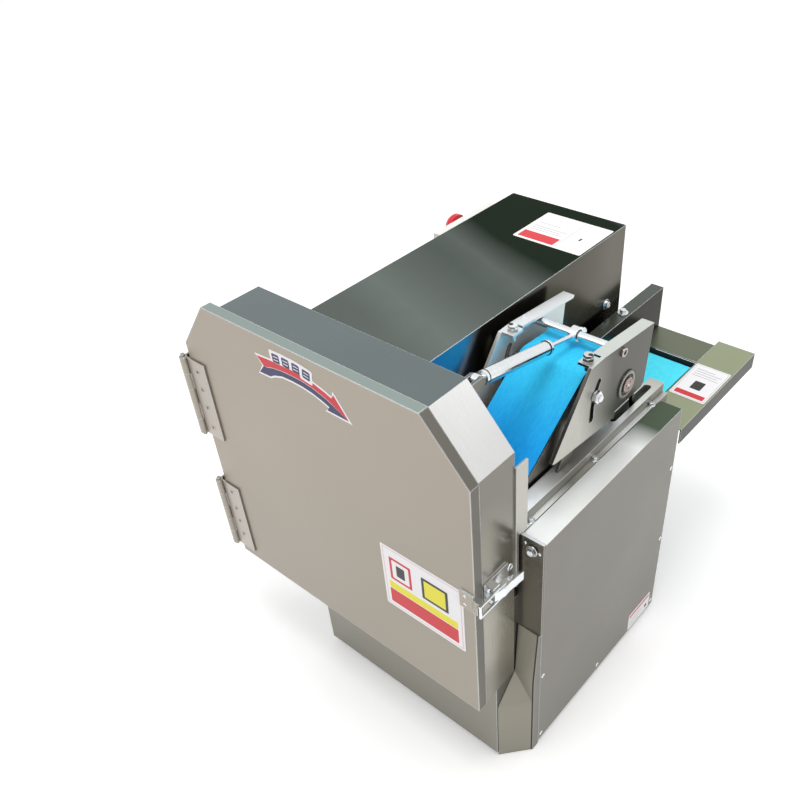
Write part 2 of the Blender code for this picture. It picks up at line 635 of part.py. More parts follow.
def make_drive():
    """Geared motor, its shaft, the reversing shaft above it, and the two chains."""
    y, z = OUTPUT
    x = (FEED_CHAIN_X + 0.0176, TOWER_RIGHT - 0.026)
    box = block("feed_gearmotor", x, (y - GEARBOX, y + GEARBOX), (z - 0.055, z + 0.022))
    join(box, block("gearbox flange", (x[1] - 0.001, TOWER_RIGHT - SHEET - SEAT), (y - 0.034, y + 0.034),
                    (z - 0.036, z + 0.020)),
         rod("feed motor", "y", (0.5 * (x[0] + x[1]), z - 0.020), FEED_MOTOR[0],
             (y - GEARBOX - FEED_MOTOR[1], y - GEARBOX + 0.001), 20))
    finish(cut(box, rod("output bore", "x", OUTPUT, AXLE_RADIUS + SEAT, (-0.14, 0))), CAST)

    output = body("output_axis", (0, *OUTPUT), ROOT)
    pitch = 0.5 * GEAR_TEETH * GEAR_MODULE
    root, tip = pitch - 1.25 * GEAR_MODULE, pitch + GEAR_MODULE
    shaft = rod("output_shaft", "x", OUTPUT, AXLE_RADIUS, (FEED_CHAIN_X - 0.004, GEAR_X[1] + 0.002))
    join(shaft, toothed_wheel("output sprocket", OUTPUT, FEED_TEETH, FEED_SPROCKET, FEED_CHAIN_X),
         prism("output gear", toothed(OUTPUT, GEAR_TEETH, root, tip, 90), "x", GEAR_X))
    finish(shaft, STEEL, output)

    jack = body("reversing_axis", (0, *JACK), ROOT)
    shaft = rod("reversing_shaft", "x", JACK, AXLE_RADIUS, (CHANNEL_RIGHT + SEAT, GEAR_X[1] + 0.002))
    join(shaft, toothed_wheel("reversing sprocket", JACK, JACK_TEETH, JACK_SPROCKET, PRESS_CHAIN_X),
         prism("reversing gear", toothed(JACK, GEAR_TEETH, root, tip, 180 / GEAR_TEETH - 90), "x", GEAR_X))
    finish(shaft, STEEL, jack)

    half = 0.5 * CHAIN_WIDTH
    links = [("feed_chain", [(DRIVE_Y, ROLLER_Z, FEED_SPROCKET), (*OUTPUT, FEED_SPROCKET)], FEED_CHAIN_X),
             ("press_chain", [(*PIVOT, PRESS_SPROCKET), (*JACK, JACK_SPROCKET)], PRESS_CHAIN_X)]
    for name, circles, x in links:
        span = (x - half, x + half)
        finish(band(name, "x", circles, 0.0005, 0.0005 + CHAIN_THICK, span, span, 12), STEEL)


def arc_slot(centre, radius, width, first, last, steps=10):
    """The outline of a slot along an arc, its ends round."""
    half = 0.5 * width
    first, last = math.radians(first) + half / radius, math.radians(last) - half / radius
    outline = []
    for i in range(steps + 1):
        t = first + (last - first) * i / steps
        outline.append((centre[0] + (radius + half) * math.cos(t),
                        centre[1] + (radius + half) * math.sin(t)))
    for end, sense in ((last, 1), (first, -1)):
        middle = (centre[0] + radius * math.cos(end), centre[1] + radius * math.sin(end))
        if sense < 0:
            for i in range(steps + 1):
                t = last + (first - last) * i / steps
                outline.append((centre[0] + (radius - half) * math.cos(t),
                                centre[1] + (radius - half) * math.sin(t)))
        for i in range(1, 5):
            t = end + (0 if sense > 0 else math.pi) + math.pi * i / 5
            outline.append((middle[0] + half * math.cos(t), middle[1] + half * math.sin(t)))
    return outline


def make_press_plate(name, side, presser):
    """A triangular side plate with its top flange, adjusting tab and bolt, and arc slot."""
    def across(near, far):
        return tuple(sorted((MIDDLE + side * near, MIDDLE + side * far)))
    inner = PLATE_OUT - PRESS_PLATE
    tip_y, tip_z = PRESS_TIP
    outline = [(tip_y, tip_z), (tip_y + 0.006, tip_z - 0.0025), (0.302, 0.450), (0.308, 0.4515),
               (0.313, 0.459), (0.378, 0.460), (0.385, 0.465), (0.396, 0.552), (0.276, 0.563),
               (0.248, 0.5625)]
    plate = prism(name, outline, "x", across(inner, PLATE_OUT))
    flange = [(0.277, 0.559), (0.3935, 0.548), (0.396, 0.552), (0.276, 0.563)]
    tab = [(0.2505, 0.5585), (0.272, 0.5585), (0.272, 0.5625), (0.2505, 0.5625)]
    bolt = (MIDDLE + side * (PLATE_OUT - 0.014), 0.261)
    join(plate, prism("top flange", flange, "x", across(PLATE_OUT - PRESS_FLANGE, PLATE_OUT)),
         prism("tab", tab, "x", across(PLATE_OUT - 0.022, PLATE_OUT)),
         rod("adjusting bolt", "z", bolt, 0.004, (0.548, 0.566), 12),
         rod("adjusting nut", "z", bolt, 0.0075, (0.5615, 0.567), 6),
         rod("adjusting head", "z", bolt, 0.0065, (0.5665, 0.571), 6, 30))
    cut(plate, prism("arc slot", arc_slot(PIVOT, SLOT_RADIUS, SLOT_WIDTH, SLOT_FROM, SLOT_TO), "x",
                     across(inner - 0.01, PLATE_OUT + 0.01)),
        rod("shaft bore", "x", PIVOT, BEARING_RADIUS if side > 0 else PRESS_SHAFT + SEAT,
            across(inner - 0.01, PLATE_OUT + 0.01), 32))
    finish(plate, POLISHED, presser)


def make_presser():
    presser = body("presser_pivot", (MIDDLE, *PIVOT), ROOT)
    make_press_plate("right_press_plate", 1, presser)
    make_press_plate("left_press_plate", -1, presser)
    inner = PLATE_OUT - PRESS_PLATE - SEAT
    between = (MIDDLE - inner, MIDDLE + inner)
    finish(rod("cross_rod", "x", CROSS_ROD, CROSS_ROD_RADIUS, between), BRIGHT, presser)
    face = MIDDLE + PLATE_OUT
    finish(ring("press_bearing", "x", PIVOT, PRESS_SHAFT + SEAT, BEARING_RADIUS - SEAT,
                (face - 0.007, face + 0.0015)), BRIGHT, presser)

    frame = None
    for side in (-1, 1):
        span = tuple(sorted((MIDDLE + side * PRESS_INNER, MIDDLE + side * (PRESS_INNER + INNER_PLATE))))
        circles = [(*NOSE_ROLL, NOSE_RADIUS - 0.005), (*PIVOT, DRUM_RADIUS - 0.010),
                   (*TOP_ROLL, TOP_RADIUS - 0.005)]
        plate = prism("press_frame" if frame is None else "frame plate", pulled(circles, 0, 6), "x", span)
        frame = join(frame, plate) if frame else plate
    join(frame, rod("top axle", "x", TOP_ROLL, PRESS_AXLE, between, 16),
         rod("nose axle", "x", NOSE_ROLL, PRESS_AXLE, (MIDDLE - HALF_ROLL, MIDDLE + HALF_ROLL), 16),
         rod("frame tube", "x", (0.222, 0.468), 0.012,
             (MIDDLE - PRESS_INNER - 0.001, MIDDLE + PRESS_INNER + 0.001), 16))
    cut(frame, rod("frame bore", "x", PIVOT, PRESS_SHAFT + SEAT,
                   (MIDDLE - HALF_ROLL - 0.01, MIDDLE + HALF_ROLL + 0.01)))
    finish(frame, STEEL, presser)

    circles = [(*NOSE_ROLL, NOSE_RADIUS), (*PIVOT, DRUM_RADIUS), (*TOP_ROLL, TOP_RADIUS)]
    span = (MIDDLE - HALF_ROLL - 0.0012, MIDDLE + HALF_ROLL + 0.0012)
    finish(band("press_belt", "x", circles, SEAT, BELT_THICK, span, span, 14), BELTING, presser)

    face = (MIDDLE - PRESS_INNER + RUN, MIDDLE + PRESS_INNER - RUN)
    for name, at, radius in (("top_roller", TOP_ROLL, TOP_RADIUS), ("nose_roller", NOSE_ROLL, NOSE_RADIUS)):
        axis = body(name + "_axis", (MIDDLE, *at), presser)
        finish(ring(name, "x", at, PRESS_AXLE + SEAT, radius, face), STEEL, axis)

    axis = body("drum_axis", (MIDDLE, *PIVOT), ROOT)
    drum = rod("press_drum", "x", PIVOT, DRUM_RADIUS, face, 32)
    join(drum, rod("press shaft", "x", PIVOT, PRESS_SHAFT, (BOX_RIGHT - 0.0266, MIDDLE + PLATE_OUT + 0.003)),
         toothed_wheel("press sprocket", PIVOT, PRESS_TEETH, PRESS_SPROCKET, PRESS_CHAIN_X))
    finish(drum, STEEL, axis)

    wall = BOX_RIGHT + SEAT
    profile = [(PRESS_SHAFT + SEAT, wall), (0.030, wall), (0.030, wall + 0.004), (0.019, wall + 0.004),
               (0.019, wall + 0.0122), (PRESS_SHAFT + SEAT, wall + 0.0122)]
    finish(turned("shaft_boss", "x", PIVOT, profile), BRIGHT)

    bolt = (PIVOT[0] + SLOT_RADIUS * math.cos(math.radians(GUIDE_BOLT_AT)),
            PIVOT[1] + SLOT_RADIUS * math.sin(math.radians(GUIDE_BOLT_AT)))
    foot_z = RAIL_TOP + SEAT
    arm_x = MIDDLE + PLATE_OUT - PRESS_PLATE - 0.007
    strap = pulled([(0.206, foot_z + 0.011, 0.011), (*bolt, 0.0085)], 0, 6)
    arm = prism("guide_arm", strap, "x", (arm_x, arm_x + 0.004))
    face = MIDDLE + PLATE_OUT
    join(arm, block("arm foot", (CHANNEL_RIGHT + 0.003, face - PRESS_PLATE - SEAT), (0.188, 0.238),
                    (foot_z, foot_z + 0.004)),
         rod("guide bolt", "x", bolt, GUIDE_BOLT_RADIUS, (arm_x + 0.001, face + 0.008), 16),
         rod("guide nut", "x", bolt, 0.0085, (face + 0.0005, face + 0.0065), 6))
    finish(arm, STEEL)
    return presser


def make_strut():
    """The sprung strut, drawn along +Y from its lug and tilted down to the cross rod."""
    along, down = CROSS_ROD[0] - LUG[0], LUG[1] - CROSS_ROD[1]
    length = math.hypot(along, down)
    pivot = body("strut_pivot", (MIDDLE, *LUG), ROOT, -math.atan2(down, along))
    tube = rod("strut_cylinder", "y", (0, 0), STRUT_RADIUS, (0.0105, STRUT_TUBE_END), 20)
    join(tube, rod("tube neck", "y", (0, 0), 0.0035, (0.004, 0.012), 12),
         rod("tube eye", "x", (0, 0), 0.008, (-0.004, 0.004), 20),
         rod("tube collar", "y", (0, 0), STRUT_RADIUS + 0.001, (STRUT_TUBE_END - 0.004, STRUT_TUBE_END), 20))
    cut(tube, rod("tube bore", "y", (0, 0), STRUT_ROD_RADIUS + 0.0004, (0.06, 0.20), 16),
        rod("tube eye bore", "x", (0, 0), LUG_PIN + SEAT, (-0.01, 0.01), 16))
    finish(tube, BRIGHT, pivot, local=True)

    slider = body("strut_slider", (MIDDLE, *LUG), pivot)
    bar = rod("strut_rod", "y", (0, 0), STRUT_ROD_RADIUS, (0.075, length - 0.009), 16)
    eye = CROSS_ROD_RADIUS + STRUT_EYE_GAP
    join(bar, rod("rod eye", "x", (length, 0), eye + 0.0032, (-0.005, 0.005), 20),
         rod("rod nub", "y", (0, 0), 0.0045, (length + eye + 0.001, length + 0.020), 12))
    cut(bar, rod("rod eye bore", "x", (length, 0), eye, (-0.01, 0.01), 20))
    finish(bar, BRIGHT, slider, local=True)


def knife(index, rotor):
    """A sickle blade: the cutting edge is a spiral, ground thin along its front face."""
    start = 2 * math.pi * index / KNIFE_COUNT
    steps = 9
    edge, ground, back = [], [], []
    for i in range(steps + 1):
        share = i / steps
        radius = HUB_RADIUS + (ROTOR_RADIUS - HUB_RADIUS) * share
        sweep = start - 1.05 * share ** 1.3
        width = 0.050 - 0.022 * share
        for line, lag in ((edge, 0), (ground, 0.008), (back, width)):
            t = sweep + lag / radius
            line.append((ROTOR_X + radius * math.cos(t), ROTOR_Z + radius * math.sin(t)))
    rear, front = edge + back[::-1], ground + back[::-1]
    n = len(rear)
    verts = [corner("y", point, KNIFE_BACK) for point in rear]
    verts += [corner("y", point, KNIFE_BACK - KNIFE_THICK) for point in front]
    faces = [list(range(n)), list(range(2 * n - 1, n - 1, -1))]
    faces += [[i, (i + 1) % n, n + (i + 1) % n, n + i] for i in range(n)]
    finish(solid(f"knife_{index + 1}", verts, faces), BRIGHT, rotor)


def make_rotor():
    rotor = body("rotor_axis", (ROTOR_X, 0, ROTOR_Z), ROOT)
    at = (ROTOR_X, ROTOR_Z)
    ends = (HUB_FRONT - NUT_LENGTH - 0.003, PULLEY_Y[1] + 0.008)
    finish(rod("knife_shaft", "y", at, KNIFE_SHAFT, ends, 28), STEEL, rotor)
    holder = rod("knife_holder", "y", at, HUB_RADIUS, (HUB_FRONT, HOLDER_BACK), 32)
    for i in range(KNIFE_COUNT):
        outline = []
        for radius, sweep in HOLDER_ARM:
            t = 2 * math.pi * i / KNIFE_COUNT + sweep
            outline.append((ROTOR_X + radius * math.cos(t), ROTOR_Z + radius * math.sin(t)))
        join(holder, prism("holder arm", outline, "y", (HOLDER_BACK - HOLDER_THICK, HOLDER_BACK)))
    finish(cut(holder, rod("holder bore", "y", at, KNIFE_SHAFT + SEAT, (0, 0.1), 28)), STEEL, rotor)
    for i in range(KNIFE_COUNT):
        knife(i, rotor)
    nut = rod("knife_nut", "y", at, 0.025, (HUB_FRONT - SEAT - NUT_LENGTH, HUB_FRONT - SEAT), 6)
    finish(cut(nut, rod("nut bore", "y", at, KNIFE_SHAFT + SEAT, (0, 0.1), 28)), BRIGHT, rotor)

    def pulley(name, centre, radius, bore):
        y0, y1 = PULLEY_Y
        profile = [(bore, y0), (radius, y0), (radius, y0 + 0.0032), (radius - 0.009, y0 + 0.007),
                   (radius - 0.009, y1 - 0.007), (radius, y1 - 0.0032), (radius, y1), (bore, y1)]
        return turned(name, "y", centre, profile, 28)

    finish(pulley("knife_pulley", at, KNIFE_PULLEY, KNIFE_SHAFT + SEAT), STEEL, rotor)
    bore = KNIFE_SHAFT + SEAT
    bearing = [(bore, BEHIND_HOUSING), (0.055, BEHIND_HOUSING), (0.055, BEHIND_HOUSING + 0.010),
               (0.036, BEHIND_HOUSING + 0.010), (0.036, BEARING_END), (bore, BEARING_END)]
    finish(turned("knife_bearing", "y", at, bearing, 28), CAST)

    low = (ROTOR_X, MOTOR_Z)
    spindle = body("motor_axis", (ROTOR_X, 0, MOTOR_Z), ROOT)
    small = pulley("motor_pulley", low, MOTOR_PULLEY, MOTOR_SHAFT - 0.002)
    shaft = rod("motor shaft", "y", low, MOTOR_SHAFT, (PULLEY_Y[0] - 0.004, MOTOR_Y[0] + 0.018), 20)
    finish(join(small, shaft), STEEL, spindle)
    centre = 0.5 * (PULLEY_Y[0] + PULLEY_Y[1])
    circles = [(ROTOR_X, MOTOR_Z, MOTOR_PULLEY - 0.008), (ROTOR_X, ROTOR_Z, KNIFE_PULLEY - 0.008)]
    finish(band("v_belt", "y", circles, 0, 0.007, (centre - 0.0028, centre + 0.0028),
                (centre - 0.0055, centre + 0.0055), 14), RUBBER)

    motor = rod("main_motor", "y", low, MOTOR_RADIUS, MOTOR_Y, 28)
    join(motor, rod("fan cover", "y", low, MOTOR_RADIUS - 0.005,
                    (MOTOR_Y[1] - 0.001, MOTOR_Y[1] + MOTOR_FAN), 28),
         block("motor feet", (ROTOR_X - MOTOR_FOOT, ROTOR_X + MOTOR_FOOT),
               (MOTOR_Y[0] + 0.032, MOTOR_Y[1] - 0.020),
               (BAR_Z + CROSSBAR + SEAT, MOTOR_Z - MOTOR_RADIUS + 0.012)),
         block("terminal box", (ROTOR_X - MOTOR_RADIUS - 0.024, ROTOR_X - 0.05),
               (MOTOR_Y[0] + 0.052, MOTOR_Y[1] - 0.045), (MOTOR_Z - 0.028, MOTOR_Z + 0.028)))
    bore = rod("motor bore", "y", low, MOTOR_SHAFT + SEAT, (MOTOR_Y[0] - 0.01, MOTOR_Y[0] + 0.022), 20)
    finish(cut(motor, bore), CAST)


def make_door():
    hinge = body("door_hinge_axis", (HINGE_X, HINGE_Y, 0), ROOT)
    door = prism("door", DOOR_OUTLINE, "y", (0, DOOR_FLANGE))
    inner = inset(DOOR_OUTLINE, [-0.01] + [THIN_SHEET] * 5)
    cut(door, prism("door inside", inner, "y", (THIN_SHEET, DOOR_FLANGE + 0.01)))
    low, high = LATCH_Z - 0.006, LATCH_Z + 0.006
    join(door, block("keeper plate", (-0.021, -0.0005), (-0.0022, 0.001),
                     (LATCH_Z - 0.013, LATCH_Z + 0.013)),
         block("keeper arm", (-0.002, 0.0100), (-0.0022, 0.0004), (low, high)),
         block("keeper lip", (0.0078, 0.0100), (-0.0075, -0.0015), (low, high)))
    finish(door, BRUSHED, hinge)

    for name, (low, high) in HINGES.items():
        step = (high - low) / 5
        knuckles = [(low + i * step + 0.0002, low + (i + 1) * step - 0.0002) for i in range(5)]
        near = HINGE_X - 0.003
        left = HOUSING_OUTLINE[0][0] - SEAT
        step_y, end_y = DOOR_FLANGE + 0.004, DOOR_FLANGE + 0.033
        zed = [(near, 0.002), (near + LEAF_THICK, 0.002), (near + LEAF_THICK, step_y), (left, step_y),
               (left, end_y), (left - LEAF_THICK, end_y), (left - LEAF_THICK, step_y + LEAF_THICK),
               (near, step_y + LEAF_THICK)]
        leaf = prism(f"{name}_hinge_bracket", zed, "z", (low, high))
        flap = block(f"{name}_door_leaf", (HINGE_X + HINGE_RADIUS + 0.0005, HINGE_X + LEAF_WIDTH),
                     (-SEAT - LEAF_THICK, -SEAT), (low, high))
        for i, span in enumerate(knuckles):
            barrel = rod("knuckle", "z", (HINGE_X, HINGE_Y), HINGE_RADIUS, span, 20)
            if i % 2:
                join(flap, barrel, block("leaf root", (HINGE_X, HINGE_X + HINGE_RADIUS + 0.001),
                                         (-SEAT - LEAF_THICK, -SEAT), span))
            else:
                join(leaf, barrel, block("leaf root", (near, near + LEAF_THICK), (HINGE_Y, 0.003), span))
        pin = (HINGE_X, HINGE_Y)
        join(leaf, rod("hinge pin", "z", pin, HINGE_PIN, (low - 0.004, high + 0.004), 16))
        cut(flap, rod("pin bore", "z", pin, HINGE_PIN + SEAT, (low - 0.01, high + 0.01), 16))
        finish(leaf, BRUSHED)
        finish(flap, BRUSHED, hinge)


def make_latch():
    face = HOUSING_RIGHT + SEAT
    plate = block("latch_base", (face, face + SHEET), (0.018, 0.064), (LATCH_Z - 0.0145, LATCH_Z + 0.0145))
    for near, far in ((-0.0145, -0.0125), (0.0125, 0.0145)):
        join(plate, block("latch ear", (face + 0.001, LATCH_PIVOT[0] + 0.003), (0.0200, 0.0320),
                          (LATCH_Z + near, LATCH_Z + far)))
    join(plate, rod("latch pin", "z", LATCH_PIVOT, LATCH_PIN, (LATCH_Z - 0.0135, LATCH_Z + 0.0135), 16))
    finish(plate, BRIGHT)

    swing = body("latch_axis", (*LATCH_PIVOT, LATCH_Z), ROOT)
    outline = [(0.0045, 0.0215), (0.0125, 0.0215), (0.0165, 0.036), (0.0160, 0.046), (0.0180, 0.070),
               (0.0160, 0.0715), (0.0060, 0.046)]
    lever = prism("latch_lever", outline, "z", (LATCH_Z - 0.007, LATCH_Z + 0.007))
    cut(lever, rod("lever bore", "z", LATCH_PIVOT, LATCH_PIN + SEAT, (LATCH_Z - 0.01, LATCH_Z + 0.01), 16),
        rod("bail bore", "z", LATCH_HOOK, LATCH_PIN + SEAT, (LATCH_Z - 0.01, LATCH_Z + 0.01), 16))
    finish(lever, BRIGHT, swing)

    hook = body("bail_axis", (*LATCH_HOOK, LATCH_Z), swing)
    x = (LATCH_HOOK[0] - 0.0013, LATCH_HOOK[0] + 0.0013)
    bail = rod("latch_bail", "z", LATCH_HOOK, LATCH_PIN, (LATCH_Z - 0.0098, LATCH_Z + 0.0098), 16)
    for near, far in ((-0.0103, -0.0078), (0.0078, 0.0103)):
        join(bail, block("bail arm", x, (-0.0065, LATCH_HOOK[1] + 0.0015), (LATCH_Z + near, LATCH_Z + far)))
    join(bail, block("bail end", x, (-0.0065, -0.0039), (LATCH_Z - 0.0095, LATCH_Z + 0.0095)))
    finish(bail, BRIGHT, hook)


def make_controls():
    wall = BOX_LEFT - SEAT
    face = wall - PANEL_DEPTH
    panel = block("control_panel", (face, wall), PANEL_Y, PANEL_Z)
    cut(panel, rod("stop hole", "x", STOP_AT, 0.008 + SEAT, (face - 0.01, face + 0.017), 20),
        rod("knob hole", "x", KNOB_AT, 0.004 + SEAT, (face - 0.01, face + 0.012), 16))
    stop = rod("emergency_stop", "x", STOP_AT, 0.008, (face - 0.022, face + 0.010), 20)
    head = [(0.004, face - 0.020), (0.0195, face - 0.020), (0.0195, face - 0.028),
            (0.016, face - 0.033), (0.004, face - 0.035)]
    join(stop, turned("stop head", "x", STOP_AT, head, 28),
         rod("stop core", "x", STOP_AT, 0.0045, (face - 0.0345, face - 0.021), 12))
    finish(stop, RED, body("emergency_stop_axis", (face, *STOP_AT), ROOT))
    for name, at in BUTTONS.items():
        cut(panel, rod("button hole", "x", at, 0.008 + SEAT, (face - 0.01, face + 0.012), 20))
        button = rod(name, "x", at, 0.008, (face - 0.0055, face + 0.007), 20)
        finish(button, GREEN if name == "start_button" else BLACK, body(name + "_axis", (face, *at), ROOT))
    knob = rod("speed_knob", "x", KNOB_AT, 0.013, (face - 0.016, face - RUN), 16)
    join(knob, rod("knob stem", "x", KNOB_AT, 0.004, (face - 0.004, face + 0.010), 16),
         block("knob mark", (face - 0.017, face - 0.010), (KNOB_AT[0] - 0.0015, KNOB_AT[0] + 0.0015),
               (KNOB_AT[1], KNOB_AT[1] + 0.0125)))
    finish(knob, BLACK, body("speed_knob_axis", (face, *KNOB_AT), ROOT))
    finish(panel, PALE)


make_frame()
make_feet()
make_motor_box()
make_housing()
make_mouth()
make_channel()
make_cover()
make_conveyor()
make_drive()
make_presser()
make_strut()
make_rotor()
make_door()
make_latch()
make_controls()
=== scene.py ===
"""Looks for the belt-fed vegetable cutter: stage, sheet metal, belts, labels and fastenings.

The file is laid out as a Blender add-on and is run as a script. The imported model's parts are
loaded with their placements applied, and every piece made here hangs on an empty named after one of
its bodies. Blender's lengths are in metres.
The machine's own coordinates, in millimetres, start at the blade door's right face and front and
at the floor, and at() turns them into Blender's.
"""

import math

import bmesh
import bpy
from bpy.props import FloatProperty, FloatVectorProperty
from mathutils import Matrix, Vector


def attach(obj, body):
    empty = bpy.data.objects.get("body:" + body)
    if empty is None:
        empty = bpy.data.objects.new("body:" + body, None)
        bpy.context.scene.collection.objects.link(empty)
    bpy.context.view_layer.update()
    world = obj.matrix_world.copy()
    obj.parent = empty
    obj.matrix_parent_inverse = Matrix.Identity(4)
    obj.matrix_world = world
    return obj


bl_info = {
    "name": "Vegetable cutter looks",
    "version": (1, 0, 0),
    "blender": (4, 5, 0),
    "location": "View3D > Sidebar > Cutter",
    "description": "Dresses the packed vegetable cutter with finishes, labels and fastenings",
    "category": "Object",
}

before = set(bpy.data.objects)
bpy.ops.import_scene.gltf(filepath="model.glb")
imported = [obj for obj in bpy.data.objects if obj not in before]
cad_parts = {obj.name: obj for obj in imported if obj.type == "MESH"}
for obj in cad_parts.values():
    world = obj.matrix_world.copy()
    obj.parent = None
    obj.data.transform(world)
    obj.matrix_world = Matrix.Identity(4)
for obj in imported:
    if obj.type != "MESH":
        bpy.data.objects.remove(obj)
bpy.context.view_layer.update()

# From the frame's origin, under the middle of the machine, to the machine's own origin
SHIFT = Vector((0.22975, -0.3335, 0.0))

FRONT, REAR = Vector((0, -1, 0)), Vector((0, 1, 0))
RIGHT, LEFT = Vector((1, 0, 0)), Vector((-1, 0, 0))
UP, DOWN = Vector((0, 0, 1)), Vector((0, 0, -1))

# Places that several pieces share, in millimetres of the machine's own coordinates
COVER_FACE = 31
PANEL_FACE = -397.3
PRESS_AXIS = (336, 489)
ROD_AXIS = (320, 547.5)
STRUT_FOOT = (-84.2, 117, 591)

# How closely a surface has to face a direction for that direction's painted reflection and shade to
# start and to be full, as a cosine
FACING = (0.86, 0.95)
# How far a rounded normal has to turn for a fold's painted highlight to start and to be full
FOLDING = (0.01, 0.12)
# Radius of the painted highlight line on rods, rings and screws
FINE_FOLD = 0.0006
# A label's gap from its sheet, the thickness of its print, and the step between layers of print
LABEL_GAP, PRINT, LAYER = 0.00002, 0.0001, 0.00003


def tone(red, green, blue):
    """A colour as it shows on a screen, each part 0 to 255, in Blender's linear numbers."""
    shown = (red / 255, green / 255, blue / 255)
    return tuple(c / 12.92 if c <= 0.04045 else ((c + 0.055) / 1.055) ** 2.4 for c in shown)


def paint(name, red, green, blue, description):
    """A colour that a user may change."""
    return FloatVectorProperty(name=name, description=description, subtype="COLOR", size=3,
                               min=0.0, max=1.0, default=tone(red, green, blue))


def size(name, default, description):
    """A length that a user may change."""
    return FloatProperty(name=name, description=description, default=default, min=0.0,
                         unit="LENGTH")


def watts(name, default, description):
    """A lamp's power that a user may change."""
    return FloatProperty(name=name, description=description, default=default, min=0.0, max=500.0,
                         subtype="POWER")


